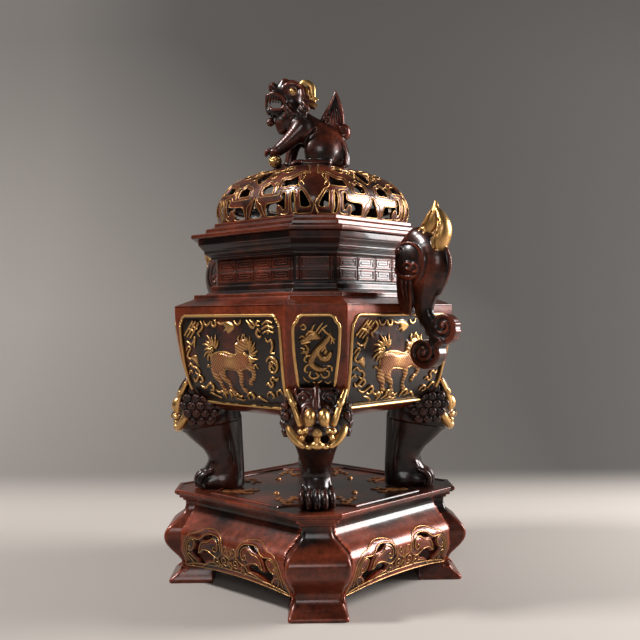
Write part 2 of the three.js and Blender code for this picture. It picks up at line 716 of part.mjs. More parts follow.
// Cushion plan: a square with round corners. Points crowd at each corner, and their
// places are shares of the eighth turn on either side of it.
const cushionPlaces = [-0.72, -0.34, -0.12, 0.12, 0.34, 0.72];
function cushion(half, z) {
  const ring = [];
  const count = 24;
  for (let k = 0; k < count; k++) {
    const quarter = Math.floor((k * 4) / count);
    const place = cushionPlaces[k % (count / 4)];
    const turn = EIGHTH * (2 * quarter + 1 + place);
    const c = Math.abs(Math.cos(turn)) ** DOME_POWER;
    const s = Math.abs(Math.sin(turn)) ** DOME_POWER;
    const r = half / (c + s) ** (1 / DOME_POWER);
    ring.push(new THREE.Vector3(r * Math.cos(turn), r * Math.sin(turn), z));
  }
  return ring;
}

function domeRings(wall) {
  const rings = domeStations.map(([rise, share]) => cushion(
    DOME_HALF * share - wall, DOME_BASE + rise * DOME_RISE - (rise > 0.5 ? wall * rise : 0),
  ));
  rings.push(cushion(PLATEAU_HALF, DOME_TOP - wall));
  return rings;
}

// Openings of one broad side, as [across, rise share] outlines: the pointed gap in
// the middle, then for one half the wide gap, the hook's slots and two rows of windows.
const domeMiddleHoles = [
  [[-6, 0.06], [-2.6, 0.3], [0, 0.36], [2.6, 0.3], [6, 0.06]],
];
const domeWallHoles = [
  [[12, 0.06], [12.6, 0.2], [16, 0.26], [27, 0.26], [28, 0.06]],
  [[33, 0.13], [33, 0.38], [36.6, 0.38], [36.6, 0.13]],
  [[44, 0.06], [44.5, 0.38], [48, 0.38], [48.5, 0.06]],
  [[6.6, 0.44], [7, 0.6], [14, 0.68], [21, 0.6], [21.6, 0.44]],
  [[30, 0.54], [30, 0.74], [44, 0.74], [45.6, 0.56]],
];
// Openings of the shoulder above, as [across, distance from the axis].
const domeMiddleRoofHoles = [
  [[-5, 63], [-7, 55], [-3, 47], [3, 47], [7, 55], [5, 63]],
];
const domeRoofHoles = [
  [[13, 48], [11, 55], [17, 58], [24, 54], [21, 47]],
];

function domeCutters() {
  const level = (share) => DOME_BASE + share * DOME_RISE;
  const bothHalves = (outlines) => outlines.concat(outlines.map(mirrored));
  const walls = domeMiddleHoles.concat(bothHalves(domeWallHoles)).map((outline) => {
    const shape = new THREE.Shape(outline.map(([x, share]) => new THREE.Vector2(x, level(share))));
    return solid(prismAlongY(shape, -2 * DOME_HALF, -DOME_HALF * 0.66));
  });
  const roofs = domeMiddleRoofHoles.concat(bothHalves(domeRoofHoles)).map((outline) => {
    const shape = new THREE.Shape(outline.map(([x, reach]) => new THREE.Vector2(x, -reach)));
    const well = new THREE.ExtrudeGeometry(shape, { depth: DOME_RISE, bevelEnabled: false });
    return solid(well.translate(0, 0, level(0.66)));
  });
  return [0, 90, 180, 270].flatMap((turn) => walls.concat(roofs).map((c) => c.rotate([0, 0, turn])));
}

function dome() {
  const shell = solid(loft(domeRings(0).concat(domeRings(DOME_WALL).reverse()), true));
  const cap = [DOME_TOP - DOME_WALL, DOME_TOP].map((z) => cushion(PLATEAU_HALF + 4, z));
  const hole = solid(upright(STEM_RADIUS + CLEARANCE, DOME_TOP - 20, DOME_TOP + 10, 8));
  return without(shell.add(solid(loft(cap))), [...domeCutters(), hole]);
}

// Finial

// Seated lion in its own frame: X is forward and Z = 0 is the dome's plateau.
function lion() {
  const side = new THREE.Vector3(0, 1, 0);
  const k = FINIAL_HEIGHT / 86;
  const trunk = limb([
    [-26, 0, 12, 9, 12], [-16, 0, 23, 18, 18], [0, 0, 34, 17, 15.5], [15, 0, 46, 14.5, 14],
    [20, 0, 58, 12, 13], [20, 0, 68, 8, 9],
  ], side, 8, 7);
  const tail = limb([
    [-16, 0, 30, 8, 7], [-20, 0, 42, 9.5, 7], [-22, 0, 56, 7, 5], [-22.5, 0, 75, 0.8, 0.8],
  ], side, 5, 5);
  const seat = limb([[-26, 0, 2, 8, 10], [0, 0, 2.2, 5, 12], [18, 0, 2, 3, 8]], side, 6, 3);
  const pieces = [
    trunk,
    tail,
    seat,
    ellipsoid(23, 0, 72, 12.5, 12, 14, 8, 4),
    ellipsoid(33, 0, 79, 9, 8.5, 6, 6, 4),
    ellipsoid(38, 0, 73, 5, 7.5, 5, 6, 3),
    ellipsoid(32, 0, 57, 8, 6.5, 4, 6, 3),
    ellipsoid(36.5, 0, 50.5, 4.5, 4, 6, 5, 4),
    ellipsoid(-30, 0, 36, 5, 6, 5.5, 6, 3),
    upright(STEM_RADIUS, -DOME_WALL - NUT_HEIGHT - 2, 6, 8),
  ];
  for (const s of [-1, 1]) {
    pieces.push(ellipsoid(-10, 12 * s, 17, 17, 8, 18, 7, 5));
    pieces.push(ellipsoid(8, 14 * s, 3.6, 13, 5.5, 4.6, 6, 3));
    pieces.push(ellipsoid(4, 11 * s, 71, 6, 3.4, 11, 5, 4));
    pieces.push(ellipsoid(9, 11 * s, 58, 8, 6, 10, 6, 4));
  }
  pieces.push(limb([[11, 10, 38, 8, 6.5], [22, 11, 28, 5.4, 5], [36, 10.5, 15.5, 4.6, 5]], side, 5, 4));
  pieces.push(ellipsoid(38.5, 10.5, 14.6, 6, 5.4, 4, 6, 3));
  pieces.push(limb([[11, -10, 38, 8, 6.5], [21, -10, 24, 5.6, 5], [25, -10, 4, 4.8, 5]], side, 5, 4));
  pieces.push(ellipsoid(29, -10, 3.6, 7, 5.6, 4.4, 6, 3));
  const sized = joined(pieces).scale([k, k, k]);
  const below = solid(box(-90, 90, -90, 90, -40, CLEARANCE));
  const underside = below.subtract(solid(upright(STEM_RADIUS, -50, 5, 8)));
  return without(sized, [underside, ballSolid(CLEARANCE)]);
}

// Embroidered ball under the lion's near paw, in the lion's frame.
function ballSolid(gap) {
  const r = BALL_RADIUS + gap;
  return solid(ellipsoid(37, 10.5, BALL_RADIUS + CLEARANCE, r, r, r, 9, 6));
}

function nut() {
  const top = DOME_TOP - DOME_WALL;
  const ring = solid(upright(NUT_RADIUS, top - NUT_HEIGHT, top, 6));
  return ring.subtract(solid(upright(STEM_RADIUS + CLEARANCE, top - 20, top + 5, 8)));
}

// Assembly

function mesh(name, body, finish) {
  const geometry = body.isBufferGeometry ? closed(body) : geometryOf(body);
  const flat = geometry.toNonIndexed();
  flat.computeVertexNormals();
  const piece = new THREE.Mesh(flat, new THREE.MeshStandardMaterial(finish));
  piece.name = name;
  return piece;
}

function turnedCopies(base, body, finish, start) {
  return [0, 1, 2, 3].map((k) => {
    const piece = mesh(`${base}_${k + 1}`, body, finish);
    piece.rotation.z = start + k * 2 * EIGHTH;
    return piece;
  });
}

const stand = new THREE.Group();
stand.name = 'stand';
stand.add(mesh('stand_top', standTop(), bronze));
stand.add(...turnedCopies('stand_post', postSolid(0), bronze, -EIGHTH));
stand.add(...turnedCopies('stand_apron', apronSolid(), bronze, 0));
studPlaces().forEach(([x, y], k) => {
  const rivet = mesh(`stand_stud_${k + 1}`, stud(), gilt);
  rivet.position.set(x, y, 0);
  stand.add(rivet);
});

const burner = new THREE.Group();
burner.name = 'burner';
burner.add(mesh('belly', belly(), bronze));
burner.add(mesh('neck', neck(), darkBronze));
burner.add(...turnedCopies('leg', leg(), darkBronze, -EIGHTH));
burner.add(...turnedCopies('leg_bolt', legBolt(), darkBronze, -EIGHTH));
['handle_right', 'handle_left'].forEach((name, k) => {
  const piece = mesh(name, handle(), bronze);
  piece.rotation.z = k * Math.PI;
  burner.add(piece);
});

const lid = new THREE.Group();
lid.name = 'lid';
lid.add(mesh('lid_base', lidBase(), bronze));
lid.add(mesh('lid_dome', dome(), bronze));
lid.add(mesh('finial_nut', nut(), darkBronze));
const finial = new THREE.Group();
finial.name = 'finial';
finial.position.z = DOME_TOP;
finial.rotation.z = THREE.MathUtils.degToRad(FINIAL_TURN);
finial.add(mesh('lion', lion(), darkBronze));
finial.add(mesh('lion_ball', ballSolid(0), gilt));
lid.add(finial);

const incenseBurner = new THREE.Group();
incenseBurner.name = 'incense_burner';
incenseBurner.add(stand, burner, lid);

export default incenseBurner;
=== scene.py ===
"""Looks for the lidded bronze incense burner: carved metal, gilding, patina, studio and camera.

Laid out as an add-on and run as a script. Blender's objects are in metres, in the frame of the
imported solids: +Z up, the origin under the middle of the stand, broad faces along X and Y, legs on
the diagonals. The carving code works in millimetres and turns to metres only when a mesh is made.
"""
import json
import math

import bpy
import numpy as np
from mathutils import Matrix, Vector


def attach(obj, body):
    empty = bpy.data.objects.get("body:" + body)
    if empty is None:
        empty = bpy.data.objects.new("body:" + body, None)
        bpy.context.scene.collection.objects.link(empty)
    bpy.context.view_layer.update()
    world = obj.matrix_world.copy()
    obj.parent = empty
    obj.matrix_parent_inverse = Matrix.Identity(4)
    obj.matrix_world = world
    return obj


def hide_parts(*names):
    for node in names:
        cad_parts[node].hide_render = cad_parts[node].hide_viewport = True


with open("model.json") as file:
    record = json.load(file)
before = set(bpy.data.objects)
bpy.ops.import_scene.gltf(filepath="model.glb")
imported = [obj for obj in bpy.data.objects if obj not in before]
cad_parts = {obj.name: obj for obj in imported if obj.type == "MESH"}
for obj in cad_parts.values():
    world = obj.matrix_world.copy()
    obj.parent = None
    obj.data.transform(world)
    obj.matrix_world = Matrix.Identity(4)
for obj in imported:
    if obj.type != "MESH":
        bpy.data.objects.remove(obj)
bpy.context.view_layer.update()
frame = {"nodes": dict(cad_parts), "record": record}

bl_info = {
    "name": "Bronze incense burner",
    "version": (1, 0, 0),
    "blender": (4, 5, 0),
    "location": "3D View > Sidebar > Burner",
    "description": "Dresses the packed incense burner with patina, gilding, relief and a studio",
    "category": "Object",
}

NODES = frame["nodes"]

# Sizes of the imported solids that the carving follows, in millimetres.
STAND_HEIGHT = 84.6
BELLY_BOTTOM = 158.0
BELLY_TOP = 254.2
DOME_BASE = 330.2
DOME_TOP = 382.6
BELLY_HALF = 107.9
BELLY_CUT = 35.28
CORNER_SHARE = 0.327
ROOT2 = math.sqrt(2.0)
FINIAL_TURN = math.radians(-136.4)
DIAGONALS = [math.radians(-45 + 90 * k) for k in range(4)]
QUARTERS = [math.radians(90 * k) for k in range(4)]

# Gap left between the belly and what is carved against it, in millimetres.
BELLY_GAP = 0.35
# Gap left between the stand's top and the paws above it or the aprons below it.
SEAT_GAP = 0.05
# Cells of the lion and of the pierced parts, as shares of the carving cell.
LION_CELL = 0.85
OPENWORK_CELL = 1.42


# Settings

def colour_setting(name, description, default):
    """Colour property with its name and use."""
    return bpy.props.FloatVectorProperty(
        name=name, description=description, default=default, size=3, min=0.0, max=1.0, subtype="COLOR")


class BurnerFinishSettings(bpy.types.PropertyGroup):
    """Colours of the patina and the gilding."""
    dark: colour_setting("Dark patina", "Colour in the hollows", (0.012, 0.0052, 0.0038))
    red: colour_setting("Red patina", "Colour where the patina thins", (0.255, 0.041, 0.0125))
    gold: colour_setting("Gilding", "Colour of the gold wash", (0.74, 0.43, 0.155))
    gloss: bpy.props.FloatProperty(
        name="Gloss", description="Roughness of the waxed surface", default=0.26, min=0.05, max=1.0)


class BurnerCarvingSettings(bpy.types.PropertyGroup):
    """Fineness of the carved surfaces."""
    cell: bpy.props.FloatProperty(
        name="Carving cell", description="Grid cell of the sculpted parts in millimetres", default=0.73,
        min=0.3, max=2.0)
    relief_cell: bpy.props.FloatProperty(
        name="Relief cell", description="Grid cell of the relief panels in millimetres", default=0.68,
        min=0.3, max=2.0)


class BurnerStageSettings(bpy.types.PropertyGroup):
    """Studio sizes."""
    backdrop: colour_setting("Backdrop", "Colour of floor and wall", (0.43, 0.385, 0.35))
    lens: bpy.props.FloatProperty(
        name="Lens", description="Camera lens", default=49.2, min=20, max=200, subtype="DISTANCE_CAMERA")


# Curves and profiles

def smooth_line(points, per_span, endless=False):
    """Points along a Catmull-Rom curve through the given rows, any number of columns.

    p(t) = half of (2b + (c-a)t + (2a-5b+4c-d)t^2 + (3b-3c+d-a)t^3) between b and c.
    """
    p = np.asarray(points, float)
    if endless:
        p = np.concatenate([p[-1:], p, p[:2]])
    else:
        p = np.concatenate([2 * p[:1] - p[1:2], p, 2 * p[-1:] - p[-2:-1]])
    a, b, c, d = p[:-3, None], p[1:-2, None], p[2:-1, None], p[3:, None]
    t = (np.arange(per_span) / per_span)[None, :, None]
    curve = 0.5 * (2 * b + (c - a) * t + (2 * a - 5 * b + 4 * c - d) * t ** 2
                   + (3 * b - 3 * c + d - a) * t ** 3)
    curve = curve.reshape(-1, p.shape[1])
    return curve if endless else np.concatenate([curve, p[-2:-1]])


def eased(z, stations):
    """Column values of the stations at z, each the mean of five linear readings within 1.6 mm of z."""
    table = np.asarray(stations, float)
    shifts = np.linspace(-1.6, 1.6, 5)
    return [sum(np.interp(z + s, table[:, 0], column) for s in shifts) / len(shifts)
            for column in table[:, 1:].T]


def spiral(x, y, radius, start, turns, direction, inner, count):
    """Points of a spiral that tightens evenly from radius to inner * radius; direction is 1 or -1."""
    share = np.linspace(0, 1, count)
    angle = start + direction * share * turns * 2 * np.pi
    r = radius * (1 - (1 - inner) * share)
    return np.stack([x + r * np.cos(angle), y + r * np.sin(angle)], 1)


# Distance fields

def soft_min(a, b, blend):
    """min(a, b) less h*h*blend/4, with h = max(blend - |a - b|, 0) / blend."""
    if blend <= 0:
        return np.minimum(a, b)
    h = np.maximum(blend - np.abs(a - b), 0) / blend
    return np.minimum(a, b) - h * h * (blend * 0.25)


def tilted(pitch):
    """Rows are the X, Y and Z axes, turned about Y by so many degrees."""
    c, s = math.cos(math.radians(pitch)), math.sin(math.radians(pitch))
    return np.array([[c, 0, -s], [0, 1, 0], [s, 0, c]])


class Clay:
    """Distance values on a regular grid in millimetres, below zero inside the metal."""

    def __init__(self, low, high, cell):
        self.cell = cell
        self.axes = [np.arange(a, b + cell, cell, dtype=np.float32) for a, b in zip(low, high)]
        self.low = np.array([axis[0] for axis in self.axes], float)
        self.d = np.full([len(axis) for axis in self.axes], 30.0, np.float32)
        self.gold = self.d.copy()
        self.side = 1

    def sides(self):
        """For a loop: what its body lays at Y lands at -Y in the first round and at Y in the second."""
        for self.side in (-1, 1):
            yield self.side

    def window(self, low, high):
        """Slices of the cells between two corners, and their coordinates ready to spread."""
        cuts = tuple(
            slice(max(0, int(np.searchsorted(axis, a)) - 1), int(np.searchsorted(axis, b)) + 1)
            for axis, a, b in zip(self.axes, low, high))
        x, y, z = (axis[cut] for axis, cut in zip(self.axes, cuts))
        return cuts, x[:, None, None], y[None, :, None], z[None, None, :]

    def everywhere(self):
        return self.window([-1e6] * 3, [1e6] * 3)[1:]

    def put(self, cuts, values, blend, cut, gilt):
        """Joins a shape softly, or takes it away: then the larger of the field and the shape's opposite.

        A gilded shape is also kept in the gold field, which the skin's gilding is read from.
        """
        if cut:
            self.d[cuts] = -soft_min(-self.d[cuts], values, blend)
            return
        self.d[cuts] = soft_min(self.d[cuts], values, blend)
        if gilt:
            self.gold[cuts] = np.minimum(self.gold[cuts], values)

    def trim(self, *limits):
        """Leaves metal only where every limit is below zero."""
        for limit in limits:
            self.d = np.maximum(self.d, limit)

    def lump(self, centre, radii, axes=None, *, blend, cut=False, gilt=False):
        """Ellipsoid: with k0 = |q/r| and k1 = |q/r2|, the distance is about k0 (k0 - 1) / k1."""
        centre, radii = np.array(centre, float) * [1, self.side, 1], np.array(radii, float)
        reach = (radii.max() if axes is not None else radii) + blend + 2
        cuts, x, y, z = self.window(centre - reach, centre + reach)
        x, y, z = x - centre[0], y - centre[1], z - centre[2]
        if axes is not None:
            x, y, z = (row[0] * x + row[1] * y + row[2] * z for row in axes)
        k0 = np.sqrt((x / radii[0]) ** 2 + (y / radii[1]) ** 2 + (z / radii[2]) ** 2)
        k1 = np.sqrt((x / radii[0] ** 2) ** 2 + (y / radii[1] ** 2) ** 2 + (z / radii[2] ** 2) ** 2)
        self.put(cuts, k0 * (k0 - 1) / np.maximum(k1, 1e-6), blend, cut, gilt)

    def rope(self, rows, *, blend, per_span=4, flat=(1, 1, 1), cut=False, endless=False, gilt=False):
        """Tapered rope through rows of [x, y, z, radius]; the section is stretched by flat.

        Each short span gives |p - nearest point| - radius there, and the least of them is kept.
        """
        line = smooth_line(rows, per_span, endless) * [1, self.side, 1, 1]
        line[:, 3] = np.maximum(line[:, 3], 0.3)
        if endless:
            line = np.concatenate([line, line[:1]])
        flat = np.array(flat, float)
        reach = line[:, 3].max() * flat.max() + blend + 1.5
        low, high = line[:, :3].min(0) - reach, line[:, :3].max(0) + reach
        cuts, x, y, z = self.window(low, high)
        values = np.full((x.size, y.size, z.size), 30.0, np.float32)
        for a, b in zip(line[:-1], line[1:]):
            near, far = np.minimum(a[:3], b[:3]) - reach, np.maximum(a[:3], b[:3]) + reach
            part, *places = self.window(near, far)
            inner = tuple(slice(s.start - whole.start, s.stop - whole.start)
                          for s, whole in zip(part, cuts))
            start, step = a[:3] / flat, (b[:3] - a[:3]) / flat
            px, py, pz = (place / k - s for place, k, s in zip(places, flat, start))
            t = (px * step[0] + py * step[1] + pz * step[2]) / max(float(step @ step), 1e-9)
            t = np.clip(t, 0, 1)
            away = np.sqrt((px - t * step[0]) ** 2 + (py - t * step[1]) ** 2 + (pz - t * step[2]) ** 2)
            values[inner] = np.minimum(values[inner], (away - (a[3] + t * (b[3] - a[3]))) * flat.min())
        self.put(cuts, values, blend, cut, gilt)

    def ring(self, centre, axis, radius, thick, *, blend, gilt=False):
        """Torus around an axis: | (distance from the axis - radius, height) | - thick."""
        flip = [1, self.side, 1]
        centre, axis = np.array(centre, float) * flip, np.array(axis, float) * flip / np.linalg.norm(axis)
        reach = radius + thick + blend + 1.5
        cuts, x, y, z = self.window(centre - reach, centre + reach)
        x, y, z = x - centre[0], y - centre[1], z - centre[2]
        high = axis[0] * x + axis[1] * y + axis[2] * z
        wide = np.sqrt(np.maximum(x * x + y * y + z * z - high * high, 0))
        self.put(cuts, np.sqrt((wide - radius) ** 2 + high ** 2) - thick, blend, False, gilt)

    def softened(self):
        """Mean of the field, held within 3 mm, over a box of five cells each way, by running sums."""
        reach, width = 2, 5
        field = np.clip(self.d, -3, 3)
        for axis in range(3):
            sums = np.cumsum(np.concatenate([
                np.repeat(field.take([0], axis), reach + 1, axis), field,
                np.repeat(field.take([-1], axis), reach, axis)], axis), axis=axis, dtype=np.float64)
            ahead = sums.take(range(width, sums.shape[axis]), axis)
            behind = sums.take(range(0, sums.shape[axis] - width), axis)
            field = ((ahead - behind) / width).astype(np.float32)
        return field

    def sample(self, field, points):
        """Straight-line blend of the eight grid values around each point."""
        place = (points - self.low) / self.cell
        base = np.clip(np.floor(place).astype(int), 0, np.array(field.shape) - 2)
        share = place - base
        total = 0
        for corner in np.ndindex(2, 2, 2):
            weight = np.prod(np.where(corner, share, 1 - share), axis=1)
            total = total + weight * field[tuple((base + corner).T)]
        return total

    def skin(self):
        """Surface of the metal as points and four-sided faces.

        Every grid edge that the surface crosses, at a/(a - b) of its length, gives one face between
        the four cells around it; a cell's point is the mean of the crossings on its edges.
        """
        d, places, cells, flips = self.d, [], [], []
        for axis in range(3):
            a = d.take(range(d.shape[axis] - 1), axis)
            b = d.take(range(1, d.shape[axis]), axis)
            index = np.argwhere((a < 0) != (b < 0))
            u, v = np.eye(3, dtype=int)[(axis + 1) % 3], np.eye(3, dtype=int)[(axis + 2) % 3]
            around = np.stack([index, index - u, index - u - v, index - v], 1)
            fits = ((around >= 0) & (around < np.array(d.shape) - 1)).all((1, 2))
            index, around = index[fits], around[fits]
            near, far = a[tuple(index.T)], b[tuple(index.T)]
            place = index.astype(float)
            place[:, axis] += near / (near - far)
            places.append(place)
            cells.append(around)
            flips.append(near < 0)
        place, around, flip = (np.concatenate(parts) for parts in (places, cells, flips))
        keys = np.ravel_multi_index(tuple(around.reshape(-1, 3).T), d.shape)
        unique, inverse = np.unique(keys, return_inverse=True)
        counts = np.bincount(inverse, minlength=len(unique))
        repeated = np.repeat(place, 4, axis=0)
        points = np.stack([np.bincount(inverse, column, len(unique)) / counts
                           for column in repeated.T], 1)
        faces = inverse.reshape(-1, 4)
        faces[~flip] = faces[~flip][:, ::-1]
        return points * self.cell + self.low, faces


def relaxed(points, faces):
    """Moves each point half way to the mean of its neighbours along face sides, then back, twice over."""
    sides = np.concatenate([faces[:, [k, (k + 1) % 4]] for k in range(4)])
    counts = np.maximum(np.bincount(sides[:, 0], minlength=len(points)), 1)[:, None]
    for amount in (0.5, -0.52, 0.5, -0.52):
        mean = np.stack([
            np.bincount(sides[:, 0], points[sides[:, 1], k], len(points)) for k in range(3)], 1) / counts
        points = points + amount * (mean - points)
    return points


# Flat drawings

class Stencil:
    """Distance to a set of drawn shapes on a flat grid, in millimetres, below zero inside."""

    def __init__(self, low, high, cell):
        self.low, self.cell = np.asarray(low, float), cell
        self.u = np.arange(low[0], high[0] + cell, cell)[:, None]
        self.v = np.arange(low[1], high[1] + cell, cell)[None, :]
        self.d = np.full((self.u.shape[0], self.v.shape[1]), 30.0)

    def segments(self, line):
        """For each side of the line: distance to it, and the share along it."""
        for a, b in zip(line[:-1], line[1:]):
            step = b[:2] - a[:2]
            length = max(float(step @ step), 1e-9)
            t = np.clip(((self.u - a[0]) * step[0] + (self.v - a[1]) * step[1]) / length, 0, 1)
            yield np.hypot(self.u - a[0] - t * step[0], self.v - a[1] - t * step[1]), t, a, b

    def polygon(self, outline, smooth=True):
        """Inside where a ray to the right crosses the outline an odd number of times."""
        line = smooth_line(outline, 4, endless=True) if smooth else np.asarray(outline, float)
        line = np.concatenate([line, line[:1]])
        away = np.full_like(self.d, 60.0)
        inside = np.zeros(self.d.shape, bool)
        for gap, _, a, b in self.segments(line):
            away = np.minimum(away, gap)
            level = (a[1] > self.v) != (b[1] > self.v)
            rise = b[1] - a[1] if b[1] != a[1] else 1e-9
            inside ^= level & (self.u < (b[0] - a[0]) * (self.v - a[1]) / rise + a[0])
        self.d = np.minimum(self.d, np.where(inside, -away, away))
        return self

    def stroke(self, rows, blend=0.0):
        """Brush line through rows of [u, v, half width]."""
        for gap, t, a, b in self.segments(smooth_line(rows, 5)):
            self.d = soft_min(self.d, gap - (a[2] + t * (b[2] - a[2])), blend)
        return self

    def disc(self, u, v, radius):
        """Round spot about (u, v)."""
        self.d = np.minimum(self.d, np.hypot(self.u - u, self.v - v) - radius)
        return self

    def read(self, u, v):
        """Value at any places, blended between the four grid values around each."""
        x = np.clip((u - self.low[0]) / self.cell, 0, self.d.shape[0] - 1.001)
        y = np.clip((v - self.low[1]) / self.cell, 0, self.d.shape[1] - 1.001)
        i, j = np.floor(x).astype(int), np.floor(y).astype(int)
        s, t = x - i, y - j
        d = self.d
        return ((d[i, j] * (1 - s) + d[i + 1, j] * s) * (1 - t)
                + (d[i, j + 1] * (1 - s) + d[i + 1, j + 1] * s) * t)


def swell(distance, height, edge):
    """Round-edged rise: height * sqrt(1 - (1 - t)^2), with t the depth inside the line over edge."""
    t = np.clip(-distance / edge, 0, 1)
    return height * np.sqrt(np.maximum(1 - (1 - t) ** 2, 0))


# Meshes

def turned(points, angle):
    """Points turned about the upright axis."""
    c, s = math.cos(angle), math.sin(angle)
    x, y, z = points.T
    return np.stack([c * x - s * y, s * x + c * y, z], 1)


def grid_faces(rows, columns, around=False):
    """Faces of a grid of points; around also joins the last column to the first."""
    index = np.arange(rows * columns).reshape(rows, columns)
    if around:
        index = np.concatenate([index, index[:, :1]], 1)
    corners = [index[:-1, :-1], index[:-1, 1:], index[1:, 1:], index[1:, :-1]]
    return np.stack(corners, -1).reshape(-1, 4)


def mesh_piece(name, body, slot, points, faces, material, values, stands_for=(), sharp=None):
    """Object with its mesh in place at the origin; points come in millimetres.

    values holds the point attributes by name, one number for each point or the same for all. sharp is
    an angle in degrees above which edges stay crisp.
    """
    faces = np.asarray(faces, np.int32)
    mesh = bpy.data.meshes.new(name)
    mesh.vertices.add(len(points))
    mesh.vertices.foreach_set("co", (np.asarray(points, np.float32) * 0.001).ravel())
    mesh.loops.add(faces.size)
    mesh.loops.foreach_set("vertex_index", faces.ravel())
    mesh.polygons.add(len(faces))
    mesh.polygons.foreach_set("loop_start", np.arange(0, faces.size, faces.shape[1], dtype=np.int32))
    mesh.polygons.foreach_set("use_smooth", np.ones(len(faces), bool))
    for key, column in values.items():
        layer = mesh.attributes.new(key, "FLOAT", "POINT")
        column = np.broadcast_to(np.clip(column, 0, 1), len(points))
        layer.data.foreach_set("value", column.astype(np.float32))
    mesh.update()
    mesh.validate()
    if sharp:
        mesh.set_sharp_from_angle(angle=math.radians(sharp))
    mesh.materials.append(material)
    piece = bpy.data.objects.new(name, mesh)
    bpy.context.scene.collection.objects.link(piece)
    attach(piece, body)
    if stands_for:
        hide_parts(*stands_for)


def worn(relief):
    """Wear of a point: half where the surface is flat, more on ridges, less in hollows."""
    return np.clip(0.5 + relief, 0, 1)


def clay_surface(clay):
    """Points, faces, wear and gilding of a sculpted piece. The softened field is above zero on ridges."""
    points, faces = clay.skin()
    points = relaxed(points, faces)
    gilt = np.clip((0.5 - clay.sample(clay.gold, points)) / 0.5, 0, 1)
    return points, faces, {"wear_and_shade": worn(0.75 * clay.sample(clay.softened(), points)), "gilt": gilt}


# Materials

def add_node(tree, kind, **values):
    """New node with attributes set by name and inputs set by 'in_NAME'."""
    node = tree.nodes.new(kind)
    for key, value in values.items():
        if key.startswith("in_"):
            node.inputs[key[3:].replace("_", " ")].default_value = value
        else:
            setattr(node, key, value)
    return node


def wire(tree, *links):
    """Joins nodes; each link is (node, its output, next node, its input)."""
    for node, leaving, following, entering in links:
        tree.links.new(node.outputs[leaving], following.inputs[entering])


def new_group(name, inputs, outputs):
    """Empty node group with named sockets, its entry and its exit."""
    group = bpy.data.node_groups.new(name, "ShaderNodeTree")
    for label, kind, value in inputs:
        group.interface.new_socket(name=label, in_out="INPUT", socket_type=kind).default_value = value
    for label, kind in outputs:
        group.interface.new_socket(name=label, in_out="OUTPUT", socket_type=kind)
    return group, group.nodes.new("NodeGroupInput"), group.nodes.new("NodeGroupOutput")


def patina_group():
    """Patina tone: hollows near black, worn places red-brown, with clouds, specks and pores.

    share = clamp(amount * (wear + sway)), with sway from -half to half as the cloud runs from 0.32 to
    0.68; colour = mix(dark, worn colour, share) * specks; roughness = gloss + 0.16 * cloud;
    height = 0.12 * pores + slow ripples.
    """
    name = "patina_tone"
    if name in bpy.data.node_groups:
        return bpy.data.node_groups[name]
    group, enter, leave = new_group(
        name,
        [("Dark", "NodeSocketColor", (0.02, 0.01, 0.008, 1)),
         ("Worn", "NodeSocketColor", (0.16, 0.03, 0.02, 1)),
         ("Amount", "NodeSocketFloat", 0.6), ("Wear", "NodeSocketFloat", 0.5),
         ("Scale", "NodeSocketFloat", 18.0), ("Gloss", "NodeSocketFloat", 0.26)],
        [("Colour", "NodeSocketColor"), ("Roughness", "NodeSocketFloat"), ("Height", "NodeSocketFloat")])
    place = group.nodes.new("ShaderNodeTexCoord")
    cloud = add_node(group, "ShaderNodeTexNoise", in_Detail=5.0, in_Roughness=0.62)
    fine = add_node(group, "ShaderNodeTexNoise", in_Scale=1400.0, in_Detail=2.0)
    slow = add_node(group, "ShaderNodeTexNoise", in_Scale=75.0, in_Detail=2.0)
    height = add_node(group, "ShaderNodeMath", operation="MULTIPLY_ADD")
    height.inputs[1].default_value = 0.12
    speck = add_node(group, "ShaderNodeTexNoise", in_Scale=240.0, in_Detail=3.0, in_Roughness=0.7)
    sway = add_node(group, "ShaderNodeMapRange", in_From_Min=0.32, in_From_Max=0.68, in_To_Min=-0.5,
                    in_To_Max=0.5)
    summed = add_node(group, "ShaderNodeMath", operation="ADD")
    share = add_node(group, "ShaderNodeMath", operation="MULTIPLY", use_clamp=True)
    tone = add_node(group, "ShaderNodeMix", data_type="RGBA")
    spotted = add_node(group, "ShaderNodeMapRange", in_From_Min=0.35, in_From_Max=0.62, in_To_Min=0.55,
                       in_To_Max=1.0)
    shade = add_node(group, "ShaderNodeMix", data_type="RGBA", blend_type="MULTIPLY")
    shade.inputs["Factor"].default_value = 1.0
    rough = add_node(group, "ShaderNodeMath", operation="MULTIPLY_ADD")
    rough.inputs[1].default_value = 0.16
    wire(group, *((place, "Object", texture, "Vector") for texture in (cloud, fine, slow, speck)))
    wire(group, (enter, "Scale", cloud, "Scale"), (cloud, "Fac", sway, "Value"),
         (sway, "Result", summed, 0), (enter, "Wear", summed, 1), (summed, "Value", share, 0),
         (enter, "Amount", share, 1), (share, "Value", tone, "Factor"), (enter, "Dark", tone, "A"),
         (enter, "Worn", tone, "B"), (speck, "Fac", spotted, "Value"), (tone, "Result", shade, "A"),
         (spotted, "Result", shade, "B"), (cloud, "Fac", rough, 0), (enter, "Gloss", rough, 2),
         (shade, "Result", leave, "Colour"), (rough, "Value", leave, "Roughness"),
         (fine, "Fac", height, 0), (slow, "Fac", height, 2), (height, "Value", leave, "Height"))
    return group


